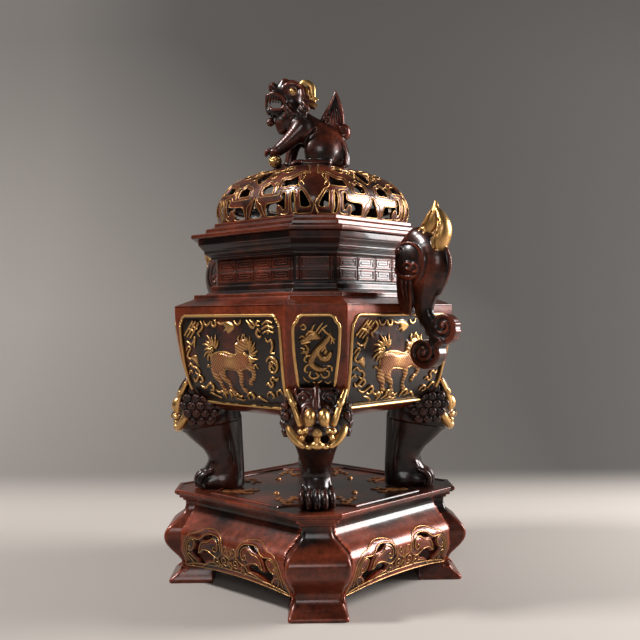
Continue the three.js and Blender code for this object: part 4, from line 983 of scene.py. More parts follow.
def lion_head(clay):
    """Upturned head with an open mouth, bulging brows, ears, mane locks and beard."""
    clay.lump((19.5, 0, 73), (12.5, 11.4, 12.4), blend=3)
    clay.lump((26, 0, 78.6), (7.2, 8.6, 6.9), blend=2)
    clay.rope([(24, 0, 74, 7.6), (31, 0, 74.5, 6.2), (36, 0, 77, 5.0), (37.0, 0, 79.0, 4.0)], blend=2,
              flat=(1, 1.25, 1))
    clay.rope([(27, 0, 69, 6.0), (35, 0, 70, 5.0), (40.6, 0, 69.6, 3.6)], blend=1.5, flat=(1, 1.35, 0.8))
    clay.rope([(17, 0, 56, 7.5), (26, 0, 53.6, 5.2), (34, 0, 53.4, 4.2), (39.6, 0, 57, 2.8)], blend=2,
              flat=(1, 1.25, 0.8))
    clay.rope([(30, 0, 51, 4.0), (31.5, 0, 44, 3.6), (30.5, 0, 36.5, 1.6)], blend=2)
    clay.rope([(36, 0, 53, 2.0), (38.6, 0, 48.5, 2.2), (39.4, 0, 45.4, 4.0)], blend=0.6)
    for _ in clay.sides():
        clay.lump((33.0, 8.4, 61.4), (7.2, 5.2, 4.2), tilted(4), blend=0.8, cut=True)
    clay.lump((38.4, 0, 60.0), (2.1, 13, 3.5), blend=0.5, cut=True)
    clay.rope([(41.4, 0, 69.6, 2.8), (43.0, 0, 64.4, 1.5), (42.8, 0, 58.6, 1.5), (40.6, 0, 54.6, 2.6)],
              blend=0.5, flat=(1, 1.5, 1))
    clay.rope([(18, 0, 52, 9), (25.5, 0, 46, 7.4), (27, 0, 39, 5.6)], blend=3, flat=(1, 1.1, 1))
    clay.ring((37.6, 0, 80.4), (0.75, 0, 0.66), 2.6, 1.3, blend=0.6)
    for _ in clay.sides():
        clay.lump((17.6, 9.4, 72.2), (3.7, 3.4, 3.7), blend=0.4, gilt=True)
        clay.ring((17.6, 10.4, 72.2), (0, 1, 0), 4.1, 1.0, blend=0.6)
        clay.rope([(27.5, 7.4, 74, 1.4), (22.5, 9.8, 78.6, 2.4), (15, 10.4, 78.8, 2.2),
                   (9.5, 9.6, 75.6, 1.4)], blend=0.8)
        clay.lump((25.2, 4.4, 82.0), (4.6, 3.6, 3.8), blend=1.0)
        clay.lump((36.5, 4.2, 79.0), (2.8, 2.6, 2.8), blend=0.8)
        clay.lump((38.6, 3.4, 75.4), (1.5, 1.4, 1.3), blend=0.4, cut=True)
        clay.rope([(41.0, 3.0, 70, 2.0), (36, 6.2, 71.4, 2.0), (30, 8.0, 68.8, 1.9),
                   (25.4, 8.8, 64.4, 1.9), (25.6, 8.2, 58.6, 1.8), (30.6, 7.0, 55.8, 1.7),
                   (37.6, 4.6, 56.6, 1.6), (40.0, 1.6, 59.4, 1.5)], blend=0.8)
        for k in range(5):
            x, y = 29.4 + 2.5 * k, 7.4 - 0.8 * k
            clay.rope([(x, y, 67.6, 1.1), (x + 0.3, y, 65.2, 0.6)], blend=0.3)
        clay.rope([(40.0, 3.4, 68.4, 1.3), (39.8, 3.6, 63.4, 0.7)], blend=0.3)
        clay.rope([(11, 10.4, 77.6, 2.0), (6.4, 12.4, 79.4, 3.2), (1.4, 13.4, 75.6, 4.2),
                   (0.2, 13.4, 69.4, 4.0), (-1.4, 12.8, 65.6, 2.6), (-6.4, 12.6, 63.4, 0.6)], blend=0.5,
                  flat=(1, 0.5, 1), gilt=True, per_span=6)
        clay.rope([(5.0, 12.8, 77, 1.2), (3.0, 14.2, 73, 1.6), (2.6, 14.2, 68.6, 1.4),
                   (0.0, 13.8, 65.4, 0.7)], blend=0.8, cut=True)
        clay.rope([(12.4, 10.8, 77.4, 1.9), (8.2, 12.6, 74.6, 2.4), (6.8, 12.8, 68.6, 2.4),
                   (4.0, 12.6, 63.6, 1.9), (-3.0, 12.4, 61.0, 1.0)], blend=0.4)
        for k in range(6):
            angle = math.radians(205 + 23 * k)
            x, z = 13 + 9.6 * math.cos(angle), 62 + 12.4 * math.sin(angle)
            y = 11.2 - 0.35 * k
            clay.rope([(x + 3.6, y * 0.84, z + 5.4, 1.9), (x + 0.8, y * 1.04, z + 1.2, 2.3),
                       (x - 0.4, y * 1.06, z - 2.2, 1.9), (x + 1.8, y * 1.06, z - 3.8, 1.2)], blend=0.5)
        for k in range(3):
            clay.rope([(21 + 2.8 * k, 8.6, 62 - 2.2 * k, 1.2), (18.6 + 2.6 * k, 10.0, 56 - 1.6 * k, 1.4),
                       (21.4 + 2.4 * k, 9.6, 51 - 1.2 * k, 1.0)], blend=0.5)


def lion_clay(cell):
    """Seated lion of the lid, in its own frame."""
    clay = Clay((-38, -21, -3), (46, 21, 88), cell)
    lion_body(clay)
    lion_tail(clay)
    lion_head(clay)
    x, y, z = clay.everywhere()
    ball = np.sqrt((x - BALL_FORWARD) ** 2 + (y - BALL_ASIDE) ** 2 + (z - BALL_NEST) ** 2) - BALL_NEST
    clay.trim(-ball, LION_GAP - z, z - LION_TOP)
    return clay


def on_lid(points):
    """From the lion's frame to the vessel's."""
    return turned(points, FINIAL_TURN) + np.array([0, 0, DOME_TOP])


def ball_surface():
    """Ball under the paw: a sphere of latitude rings whose radius ripples with a rosette.

    Petals 0.17 cos(10 around + 2.5 sin(4 tilt)) sqrt(sin(tilt)), and a groove at every quarter of the
    tilt, -0.26 exp(-(sin(4 tilt) / 0.22)^2), are added to BALL_RADIUS.
    """
    rings, spokes = 60, 100
    tilt = np.linspace(0.02, np.pi - 0.02, rings)[:, None]
    around = np.linspace(0, 2 * np.pi, spokes, endpoint=False)[None, :]
    petals = 0.17 * np.cos(10 * around + 2.5 * np.sin(4 * tilt)) * np.sin(tilt) ** 0.5
    grooves = -0.26 * np.exp(-(np.sin(4 * tilt) / 0.22) ** 2)
    r = BALL_RADIUS + petals + grooves
    points = np.stack([r * np.sin(tilt) * np.cos(around), r * np.cos(tilt) + 0 * around,
                       r * np.sin(tilt) * np.sin(around)], -1).reshape(-1, 3)
    faces = grid_faces(rings, spokes, around=True)[:, ::-1]
    return points + np.array([BALL_FORWARD, BALL_ASIDE, BALL_RISE]), faces, (petals + grooves).ravel()


class BURNER_OT_lion(bpy.types.Operator):
    """Seated lion on the lid, its ears and eyes gilded, and the gilded ball under its paw"""
    bl_idname = "burner.lion"
    bl_label = "Lion"

    def execute(self, context):
        points, faces, values = clay_surface(lion_clay(LION_CELL * context.scene.burner_carving.cell))
        mesh_piece("carved_lion", "lid", "dark_bronze", on_lid(points), faces,
                   carved_material(context, "deep"), values, stands_for=("lion",))
        points, faces, relief = ball_surface()
        mesh_piece("gilt_ball", "lid", "gilt", on_lid(points), faces, carved_material(context, "brown"),
                   {"wear_and_shade": worn(relief * 1.6 + 0.1), "gilt": 1.0}, stands_for=("lion_ball",))
        return {"FINISHED"}


# Lofted castings and lines laid on them

def soft_path(points, soft, steps=4, support=0.5, closed=False):
    """Path whose corners are small curves, each held by one more point on the straight runs beside it.

    A curve (1-t)^2 A + 2t(1-t) V + t^2 B runs between points A and B, soft away from the corner V.
    """
    p = np.asarray(points, float)
    soft = np.broadcast_to(soft, len(p))
    rows = [] if closed else [p[0]]
    for k in range(0 if closed else 1, len(p) if closed else len(p) - 1):
        before, corner, after = p[k - 1], p[k], p[(k + 1) % len(p)]
        near, far = np.linalg.norm(before - corner), np.linalg.norm(after - corner)
        pull = min(soft[k], 0.42 * near, 0.42 * far)
        a, b = corner + (before - corner) * pull / near, corner + (after - corner) * pull / far
        t = np.linspace(0, 1, steps + 1)[:, None]
        rows.append(corner + (before - corner) * min(pull + support, 0.5 * near) / near)
        rows.extend((1 - t) ** 2 * a + 2 * t * (1 - t) * corner + t ** 2 * b)
        rows.append(corner + (after - corner) * min(pull + support, 0.5 * far) / far)
    if not closed:
        rows.append(p[-1])
    return np.array(rows)


def octagon_stack(profile, soft, round_edges):
    """Loft of squares with cut corners through rows of (half width, corner cut, height).

    The profile's own corners are rounded by soft. The plan's corners are rounded by round_edges, which
    starts 0.414 of it before the corner, the tangent of a sixteenth of a turn.
    """
    rows = soft_path(profile, soft)
    rings = []
    for half, cut, z in rows:
        plan = []
        for k in range(4):
            c, s = round(math.cos(k * math.pi / 2)), round(math.sin(k * math.pi / 2))
            plan += [(c * half - s * (half - cut), s * half + c * (half - cut)),
                     (c * (half - cut) - s * half, s * (half - cut) + c * half)]
        ring = soft_path(plan, round_edges * 0.414, steps=3, closed=True)
        rings.append(np.column_stack([ring, np.full(len(ring), z)]))
    rings = np.array(rings)
    return rings.reshape(-1, 3), grid_faces(len(rings), rings.shape[1], around=True)


def ring_wear(points, faces, reach):
    """Wear of a lofted casting: how far a point stands out from the mean of its neighbours."""
    corners = points[faces]
    normal = np.cross(corners[:, 2] - corners[:, 0], corners[:, 3] - corners[:, 1])
    normal /= np.maximum(np.linalg.norm(normal, axis=1, keepdims=True), 1e-9)
    total = np.zeros_like(points)
    for k in range(4):
        np.add.at(total, faces[:, k], normal)
    total /= np.maximum(np.linalg.norm(total, axis=1, keepdims=True), 1e-9)
    sides = np.concatenate([faces[:, [k, (k + 1) % 4]] for k in range(4)])
    step = points[sides[:, 1]] - points[sides[:, 0]]
    length = np.maximum(np.linalg.norm(step, axis=1), 1e-6)
    bend, count = np.zeros(len(points)), np.zeros(len(points))
    np.add.at(bend, sides[:, 0], -(step * total[sides[:, 0]]).sum(1) / length)
    np.add.at(count, sides[:, 0], 1)
    return worn(np.clip(bend / np.maximum(count, 1), -0.5, 0.5) * reach)


def cast_values(points, faces, reach=1.0):
    """Point values of a plain casting."""
    return {"wear_and_shade": ring_wear(points, faces, reach), "gilt": 0.0}


def strand(rows, place, sides, endless=False, lift=0.25, smooth=True):
    """Raised line on a surface: a tube through rows of (u, v, radius), part sunk in the surface.

    place(u, v) gives points and outward normals. Around each centre the points are
    centre + radius * (cos a * side + sin a * normal), with side = normal x direction.
    """
    line = smooth_line(rows, 4, endless) if smooth else np.asarray(rows, float)
    if endless:
        line = np.concatenate([line, line[:1]])
    centre, normal = place(line[:, 0], line[:, 1])
    radius = np.maximum(line[:, 2:3], 0.12)
    centre = centre + normal * radius * lift
    ahead = np.gradient(centre, axis=0)
    if endless:
        ahead[0] = ahead[-1] = centre[1] - centre[-2]
    side = np.cross(normal, ahead)
    side /= np.maximum(np.linalg.norm(side, axis=1, keepdims=True), 1e-9)
    angle = np.linspace(0, 2 * np.pi, sides, endpoint=False)[None, :, None]
    spokes = np.cos(angle) * side[:, None] + np.sin(angle) * normal[:, None]
    points = centre[:, None] + radius[:, None] * spokes
    return points.reshape(-1, 3), grid_faces(len(line), sides, around=True)


def bundle(parts):
    """Several (points, faces) joined into one."""
    points, faces, start = [], [], 0
    for p, f in parts:
        points.append(p)
        faces.append(f + start)
        start += len(p)
    return np.concatenate(points), np.concatenate(faces)


def both_sides(lines):
    """Lines together with their mirror images across u = 0."""
    return [np.array(line, float) for line in lines] + [np.array(line, float) * [-1, 1] for line in lines]


def with_radius(line, radius):
    """The line with a column of radii added, unless it has one."""
    line = np.asarray(line, float)
    return np.column_stack([line, np.full(len(line), radius)]) if line.shape[1] == 2 else line


# Belly

# Sunk ground of the panels: how deep, how wide its edge is, and how deep the strokes lie on it.
GROUND_DEPTH = 1.1
GROUND_EDGE = 1.4
STROKE_DEPTH = 0.85
BELLY_WALL = 4.5
BELLY_FLOOR = 6


class BellyFace:
    """One side of the belly in its own frame: X outward, Y across, Z up."""

    def __init__(self, corner=False):
        table = np.array(BELLY_SIDE)
        rises = BELLY_BOTTOM + table[:, 0] * (BELLY_TOP - BELLY_BOTTOM)
        line = smooth_line(np.column_stack([rises, BELLY_HALF - table[:, 1]]), 10)
        self.z, broad = line[:, 0], np.minimum(line[:, 1], BELLY_HALF)
        self.corner = corner
        self.reach = (2 * broad - BELLY_CUT) / ROOT2 if corner else broad
        self.half = np.full_like(broad, BELLY_CUT / ROOT2) if corner else broad - BELLY_CUT
        slope = np.gradient(self.reach, self.z)
        size = np.sqrt(1 + slope ** 2)
        self.out, self.up = 1 / size, -slope / size
        self.arc = np.concatenate([[0], np.cumsum(np.hypot(np.diff(self.z), np.diff(self.reach)))])

    def place(self, s, z):
        """Points and normals for places across and heights."""
        s, z = np.broadcast_arrays(s, z)
        look = [np.interp(z, self.z, column) for column in (self.reach, self.out, self.up)]
        return np.stack([look[0], s, z], -1), np.stack([look[1], 0 * z, look[2]], -1)

    def grid(self, cell, relief):
        """Rows an even way up the face and columns across it, pushed out by relief(s, z).

        The upright edges are rounded by soft and bend a sixteenth of a turn to meet the next face.
        """
        soft, top = 2.2, 0.6
        rows = int(self.arc[-1] / cell)
        z = np.interp(np.linspace(0, self.arc[-1], rows), self.arc, self.z)[:, None]
        z = np.minimum(z, BELLY_TOP - top)
        half = np.interp(z, self.z, self.half)
        bend = soft * math.tan(math.pi / 8)
        columns = int(2 * half.max() / cell)
        middle = np.linspace(-1, 1, columns)[None, :] * (half - bend)
        angles = np.linspace(0, math.pi / 8, 4)[1:]
        edge = half - bend + soft * np.sin(angles)[None, :]
        s = np.concatenate([-edge[:, ::-1], middle, edge], 1)
        height = relief(s, z + 0 * s)
        height = height * np.clip((half - bend - np.abs(s)) / 1.5, 0, 1)
        drop = soft * (np.cos(np.arcsin(np.clip((np.abs(s) - half + bend) / soft, 0, 1))) - 1)
        points, normals = self.place(s, z)
        points = points + normals * (height + drop)[..., None]
        return points.reshape(-1, 3), grid_faces(*s.shape), height


BROAD_FRAME_HALF = [
    (0, 245.2), (58.2, 245.2), (61.6, 243.4), (62.6, 240.6), (64.8, 238.2), (65.6, 234), (65.4, 222),
    (64.6, 206), (63.2, 190), (61.4, 174), (59.4, 167.6), (55, 166.9), (0, 166.9),
]
CORNER_FRAME_HALF = [
    (0, 245.2), (11.8, 245.2), (14.8, 243), (15.6, 240.2), (18.4, 237.2), (19.0, 233), (18.2, 215),
    (16.2, 198), (14.2, 184), (13.2, 178),
]


def frame_line(half_line, closed):
    """Full frame from its right half: crisp runs with small bends at the corners."""
    right = np.array(half_line[1:-1] if closed else half_line[1:], float)
    left = (right * [-1, 1])[::-1]
    if closed:
        return np.concatenate([right, left])
    return np.concatenate([right[::-1], left[::-1]])


# The walking beast of the broad panels and its border of ribbons and emblems, as (across, height, half
# width).
BEAST_BODY = [
    (-26.5, 207.6), (-21.6, 212.2), (-12, 213.2), (-2, 211.2), (6, 211.6), (13, 214.4), (20, 213.2),
    (25.8, 207.2), (24.4, 201.4), (16, 199.4), (9, 197.6), (1, 198.4), (-7, 198.8), (-12.6, 195.6),
    (-19.4, 193.4), (-25.4, 198.4),
]
BEAST_LEGS = [
    [(-22.4, 199, 5.6), (-22.6, 192.4, 3.6), (-18.0, 187.2, 2.0), (-17.6, 182.6, 1.4),
     (-14.6, 180.2, 2.1)], [(-14.4, 197, 4.4), (-12.0, 190.6, 2.8), (-6.6, 186.6, 1.8),
     (-5.6, 181.2, 1.4), (-2.2, 178.6, 2.0)], [(8.4, 202, 4.2), (11.0, 193.6, 2.4), (9.4, 187.4, 1.6),
     (10.6, 182.0, 1.4), (13.4, 180.0, 2.0)], [(21.4, 203, 4.4), (27.4, 199.0, 2.6), (27.0, 192.6, 1.7),
     (22.8, 190.0, 1.4), (21.4, 187.0, 2.0)],
]
BEAST_HEAD = [
    [(12.6, 212, 3.4), (14.6, 217.6, 4.4), (18.8, 220.6, 4.2), (22.6, 219.2, 3.2)], [(13.6, 213.4, 2.0),
     (9.8, 214.8, 1.7), (9.2, 217.0, 1.1)], [(14.2, 218.6, 2.2), (10.4, 219.0, 1.8), (8.8, 220.6, 1.0)],
]
BEAST_LINES = [
    [(-15, 213.6, 0.8), (-6, 213.4, 1.0), (4, 211.4, 1.0), (9, 213, 0.8)], [(14.6, 222, 0.9),
     (12.6, 225.6, 1.0), (14.6, 228.4, 0.4)], [(18.6, 223.6, 0.9), (18.2, 227.4, 0.9),
     (20.8, 229.4, 0.4)], [(10.6, 213.6, 0.9), (13.2, 215.4, 0.9), (16.4, 214.6, 0.8),
     (18.2, 216.6, 0.6)], [(9.6, 208.4, 1.1), (7.4, 211.4, 1.0), (4.4, 209.6, 0.9), (5.4, 206.4, 0.8),
     (8.4, 206.2, 0.6)], [(-29, 199.6, 0.9), (-31.4, 201.6, 0.8), (-32.6, 199.4, 0.5)], [(27, 200.6, 0.9),
     (31.2, 203.4, 0.9), (34.4, 200.4, 0.5)],
]
PANEL_LINES = [
    [(-60.4, 227.6, 1.0), (-46.6, 240.8, 1.1)], [(-56.4, 226.4, 1.1), (-42.4, 240.6, 1.2)],
    [(-52.4, 225.4, 1.0), (-38.4, 239.4, 1.1)], [(-54.6, 233.8, 0.9), (-49, 232.6, 1.2),
     (-45.2, 230.2, 0.9)], [(-48.6, 238.6, 0.9), (-45, 235, 1.1), (-41.4, 233.4, 0.9)],
    [(-36.6, 240.4, 0.6), (-33.4, 236.4, 1.1), (-36.2, 232.6, 1.2), (-40.6, 229.8, 1.1),
     (-38.4, 226.6, 0.7)], [(-58.4, 222.4, 0.6), (-52.4, 219.6, 1.0), (-47.6, 222.6, 1.2),
     (-45.6, 226.6, 1.0), (-48.4, 217.2, 0.7)], [(-31.8, 240.6, 0.6), (-28.8, 236.8, 1.0),
     (-25.0, 237.8, 1.1), (-22.4, 240.8, 0.7)], [(-20.8, 240.4, 0.7), (-19.4, 236.4, 1.2),
     (-15.6, 236.8, 1.3), (-15.4, 240.4, 1.0), (-18.2, 241.4, 0.6)], [(-12.6, 239.4, 0.8),
     (-7.8, 237.8, 1.3), (-2.4, 239.4, 1.0)], [(9.4, 240.6, 0.6), (12.6, 237.6, 1.1), (16.4, 238.8, 1.1),
     (17.8, 241.6, 0.6)], [(25.0, 241.2, 0.6), (28.4, 238.2, 1.2), (31.8, 235.2, 1.3),
     (34.6, 234.6, 0.7)], [(29.6, 241.0, 0.7), (33.4, 238.6, 1.1), (35.4, 236.4, 0.6)],
    [(41.8, 239.8, 0.6), (38.6, 240.2, 1.0), (37.6, 237.2, 1.0), (40.6, 236.4, 0.6)], [(41.6, 231.4, 0.7),
     (38.4, 233.4, 1.1), (36.8, 229.8, 1.2), (39.6, 226.8, 1.1), (42.4, 228.4, 0.7)], [(44.4, 237.6, 0.9),
     (50.4, 240.4, 1.1), (56.6, 238.8, 0.8)], [(43.6, 233.8, 0.9), (50.4, 236.4, 1.1),
     (57.4, 234.4, 0.8)], [(44.4, 230.4, 0.8), (50.6, 232.4, 1.1), (57.4, 230.6, 0.7)], [(50, 241, 0.8),
     (52.4, 235.4, 1.0), (50.4, 229.8, 0.8)], [(46.4, 226.6, 0.6), (49.4, 223.2, 1.0), (53.6, 224.6, 1.2),
     (54.8, 219.6, 1.2), (52.4, 214.4, 1.1), (56.4, 213.6, 0.7)], [(45.4, 206.8, 0.8), (48.2, 209.8, 1.1),
     (52.4, 210.4, 1.1), (57.2, 208.0, 1.1), (58.0, 202.6, 1.1), (54.6, 198.4, 1.1), (50.4, 198.2, 1.0),
     (48.4, 201.8, 0.9), (51.0, 206.6, 0.9), (55.2, 205.6, 0.8)], [(48.6, 206.6, 0.7),
     (53.6, 200.6, 0.8)], [(51.4, 209.6, 0.7), (56.6, 203.4, 0.8)], [(49.2, 202, 0.6),
     (55.6, 208.2, 0.7)], [(-60.2, 213.6, 0.6), (-56.8, 217.4, 1.0), (-53.4, 216.4, 0.8),
     (-56.8, 212.6, 1.0), (-59.0, 208.4, 1.0), (-55.0, 205.8, 0.8)], [(-59.8, 199.6, 0.6),
     (-56.0, 202.0, 1.1), (-52.2, 199.2, 1.1), (-47.8, 198.2, 1.1), (-44.8, 194.6, 1.0),
     (-48.0, 192.2, 0.8), (-51.6, 194.4, 0.6)], [(-60.6, 191.8, 0.6), (-57.6, 195.4, 1.0),
     (-54.8, 193.4, 0.8)], [(-55.4, 188.8, 0.7), (-52.8, 185.6, 1.2), (-49.4, 188.6, 1.2),
     (-45.6, 191.6, 1.2), (-42.4, 188.8, 1.1), (-45.0, 185.2, 0.9), (-48.6, 186.0, 0.6)],
    [(-47.6, 182.0, 0.7), (-42.4, 180.2, 1.2), (-37.6, 182.6, 1.1), (-33.4, 185.0, 1.3),
     (-29.8, 182.2, 1.3), (-32.2, 178.2, 1.2), (-36.4, 178.8, 0.7)], [(-38.4, 176.2, 0.6),
     (-33.6, 175.2, 1.1), (-29.4, 173.6, 1.0), (-25.8, 171.4, 0.6)], [(-28.6, 179.8, 0.6),
     (-24.6, 177.0, 1.1), (-20.4, 178.4, 1.1), (-17.2, 175.8, 1.2), (-18.8, 171.8, 0.8)],
    [(-21.4, 174.6, 0.6), (-15.8, 178.2, 0.9), (-13.4, 176.2, 0.6)], [(-12.2, 171.8, 0.6),
     (-8.6, 175.2, 1.2), (-9.4, 179.4, 1.2), (-5.2, 178.6, 1.1), (-4.6, 174.6, 1.2), (-0.8, 176.8, 1.2),
     (3.0, 174.6, 1.1), (6.4, 176.2, 0.6)], [(-6.4, 171.6, 0.8), (-1.6, 173.0, 1.2), (3.4, 171.4, 0.9),
     (7.4, 172.6, 0.6)], [(12.6, 172.4, 0.6), (13.4, 176.8, 1.2), (17.4, 178.8, 1.2), (20.8, 175.8, 1.2),
     (17.8, 173.2, 0.9)], [(22.6, 174.0, 0.6), (26.2, 175.8, 1.0), (30.2, 173.8, 1.1),
     (34.2, 172.0, 0.6)], [(38.0, 176.4, 0.6), (40.4, 179.8, 1.0), (44.4, 180.4, 1.1), (46.6, 177.0, 0.9),
     (43.0, 175.4, 0.6)], [(50.4, 177.4, 0.6), (52.4, 181.8, 1.0), (56.4, 183.0, 0.9),
     (58.0, 179.6, 0.6)], [(40.6, 186.6, 0.6), (44.0, 188.4, 1.1), (46.6, 185.2, 1.1), (49.8, 188.2, 1.2),
     (47.6, 191.6, 1.0), (51.2, 193.8, 1.1), (54.6, 191.4, 1.1), (57.4, 193.8, 0.7)],
]
PANEL_LEAVES = [
    [(-6, 238.4), (0, 240.2), (5.4, 238.6), (9, 235.4), (5, 231.6), (0, 229.8), (-2, 232.2), (-7, 231.2),
     (-3, 235)], [(-56.6, 206.2), (-52, 209.4), (-47, 209.8), (-45.2, 206), (-45.6, 202.4),
     (-42.4, 199.6), (-47.6, 201.6), (-52, 205)],
]


def fan(u, v, near, far, angles, width, twist=0.25):
    """Tapered curved strokes that spread from a centre, one at each angle in degrees."""
    lines = []
    for k, angle in enumerate(np.radians(angles)):
        reach = far if k % 2 else far * 0.84
        lines.append([
            (u + near * math.cos(angle), v + near * math.sin(angle), width * 0.8),
            (u + 0.5 * (near + reach) * math.cos(angle + twist * 0.5),
             v + 0.5 * (near + reach) * math.sin(angle + twist * 0.5), width),
            (u + reach * math.cos(angle + twist * 1.3), v + reach * math.sin(angle + twist * 1.3), 0.35),
        ])
    return lines


def beast_strands():
    """Flame tail, mane and fringe of the beast."""
    lines = [*BEAST_LINES, with_radius(BEAST_BODY + BEAST_BODY[:1], 0.6)]
    lines += fan(-22.5, 214.5, 4.2, 15.0, [30, 52, 74, 96, 118, 140, 162, 186, 208], 1.15)
    lines += fan(-23, 213.0, 1.0, 7.4, [60, 110, 160, 210, 255], 1.0, 0.9)
    lines += fan(20.5, 214.0, 5.4, 15.6, [-52, -38, -24, -10, 4, 18, 32, 46, 60, 74, 90], 1.15, 0.22)
    lines += fan(21.5, 209.5, 2.0, 9.5, [-50, -25, 0, 25], 0.9, 0.3)
    lines += [[(u, 213.8, 0.6), (u + 1.6, 210.4, 1.0), (u + 0.4, 206.6, 0.6)]
              for u in np.arange(10.6, 22, 2.4)]
    lines += [[(u, 204.6, 0.9), (u + 0.5, 202.2, 1.2), (u + 0.2, 199.4, 0.6)]
              for u in np.arange(11, 27, 2.3)]
    return lines


# The dragon of the corner panels.
DRAGON_BODY = [
    (11.4, 230.4, 1.2), (9.4, 226.0, 2.3), (5.2, 221.2, 2.7), (1.2, 217.2, 2.8), (-1.8, 213.0, 2.9),
    (-4.0, 208.6, 2.8), (-3.4, 204.4, 2.8), (0.4, 201.6, 2.8), (4.8, 200.6, 2.3), (8.4, 202.2, 1.2),
]
DRAGON_PARTS = [
    [(1.8, 213.2, 2.0), (5.0, 209.4, 2.3), (9.2, 210.4, 2.6), (11.4, 214.6, 1.6)], [(-12.4, 224.0, 1.3),
     (-9.2, 225.0, 2.0), (-5.4, 227.4, 3.0), (-1.8, 228.2, 3.2), (1.8, 226.8, 2.0)], [(-9.6, 221.2, 0.8),
     (-7.0, 219.2, 1.3), (-7.8, 214.6, 1.6), (-11.0, 216.6, 0.9)],
]
DRAGON_LINES = [
    [(-8.4, 228.6, 0.9), (-6.2, 231.6, 1.2), (-2.4, 231.8, 1.2), (0.8, 229.6, 0.8)], [(-4.4, 231.4, 0.8),
     (-2.6, 235.6, 0.9), (-0.8, 237.6, 0.4)], [(-0.6, 231.2, 0.8), (2.4, 235.4, 0.9), (5.4, 238.6, 0.4)],
    [(1.6, 230.0, 0.8), (4.6, 233.8, 0.8), (8.6, 236.6, 0.4)], [(-13.6, 226.4, 0.5), (-11.6, 228.2, 0.9),
     (-8.6, 226.6, 0.8)], [(-12.0, 222.0, 0.7), (-8.8, 222.6, 0.9), (-4.8, 223.6, 0.8)],
    [(4.6, 234.6, 0.8), (8.0, 231.0, 1.3), (11.6, 228.4, 1.3), (13.2, 224.8, 0.9)], [(13.0, 225.4, 0.9),
     (14.6, 221.8, 0.5)], [(12.6, 226.4, 0.8), (15.4, 225.2, 0.4)], [(12.4, 225.0, 0.8),
     (11.8, 221.4, 0.4)], [(-9.4, 217.6, 0.9), (-12.6, 218.6, 0.5)], [(-8.8, 215.2, 0.9),
     (-12.4, 214.2, 0.5)], [(-7.6, 214.4, 0.9), (-8.6, 210.8, 0.5)], [(-4.8, 212.4, 0.9),
     (-8.6, 211.6, 1.1), (-9.8, 208.4, 0.8), (-7.4, 206.8, 0.6)], [(-5.4, 205.4, 0.9), (-8.8, 203.4, 1.0),
     (-9.4, 199.8, 1.0), (-6.6, 198.4, 0.6)], [(-4.8, 199.4, 0.6), (-5.6, 195.6, 1.1), (-1.8, 193.4, 1.2),
     (1.6, 195.8, 1.1), (-0.6, 198.2, 0.7)], [(3.4, 197.6, 0.6), (5.8, 194.2, 1.1), (9.4, 195.2, 1.1),
     (10.4, 198.8, 0.9), (7.8, 199.8, 0.6)], [(8.8, 203.6, 0.8), (12.2, 203.2, 1.0), (12.6, 199.6, 0.8)],
    [(-3.0, 190.4, 0.6), (0.8, 189.4, 1.0), (4.2, 191.4, 0.6)], [(-10.6, 194.8, 0.6), (-8.4, 191.8, 0.9),
     (-5.4, 190.2, 0.6)], [(6.8, 191.0, 0.6), (9.4, 189.2, 0.9), (11.6, 191.2, 0.5)],
    [(-12.8, 235.8, 0.6), (-10.6, 237.6, 0.9), (-8.6, 235.8, 0.9), (-9.8, 233.4, 0.9),
     (-12.2, 233.8, 0.6)], [(5.8, 224.4, 0.7), (6.8, 219.6, 0.9), (4.2, 215.6, 0.7)], [(8.6, 216.2, 0.7),
     (6.8, 213.8, 0.9), (7.8, 218.4, 0.5)],
]


def scales(s, z):
    """Scale pattern, dots in slanted rows: cos(2.2 s) cos(2.2 z), from -1 between scales to 1 on them."""
    return np.cos(s * 2.2) * np.cos(z * 2.2)


def broad_relief():
    """Relief, gilding, and share of wear with painted shade near the frame, of the broad panel, as
    functions of (across, height).
    """
    low, high = (-70, 160), (70, 250)
    field = Stencil(low, high, 0.5).polygon(frame_line(BROAD_FRAME_HALF, True), smooth=False)
    body, trunk = (Stencil(low, high, 0.5).polygon(BEAST_BODY) for _ in range(2))
    for rows in BEAST_LEGS + BEAST_HEAD:
        body.stroke(rows, blend=1.5)
    leaves = Stencil(low, high, 0.5)
    for outline in PANEL_LEAVES:
        leaves.polygon(outline)

    def relief(s, z):
        inner, beast, leaf = field.read(s, z), body.read(s, z), leaves.read(s, z)
        sunk = -GROUND_DEPTH * np.clip(-inner / GROUND_EDGE, 0, 1)
        scale = 0.36 * scales(s, z) * np.clip(-beast / 1.2, 0, 1)
        grain = 0.05 * np.sin(s * 2.3 + 2 * np.sin(z * 0.9)) * np.sin(z * 2.1 + 2 * np.sin(s * 0.8))
        raised = swell(beast, 2.3, 4.2) + scale + swell(leaf, 1.6, 2.0)
        return sunk + raised + grain * np.clip(-inner / 3, 0, 1)

    def gold(s, z):
        beast, leaf = body.read(s, z), leaves.read(s, z)
        rings = 0.42 + 0.5 * np.sin(2.3 * z + 0.8 * s)
        flank = 0.4 * np.exp(-((s - 1) / 8) ** 2 - ((z - 205) / 6) ** 2)
        patches = np.where(trunk.read(s, z) < -1, 0.14 + flank + 0.4 * scales(s, z), rings)
        return np.maximum(patches * np.clip(-beast / 0.6, 0, 1), np.clip(-leaf / 0.4, 0, 1))

    def ground(s, z):
        # Patina darker on the sunk ground, and painted shade: darkest by the frame, lighter towards the
        # panel's middle.
        centre = np.exp(-((s - 2) / 42) ** 2 - ((z - 207) / 27) ** 2)
        base = np.where(field.read(s, z) < 0, -0.26 + 0.3 * centre, 0.0)
        return base + 0.25 * scales(s, z) * (body.read(s, z) < 0)

    return relief, gold, ground


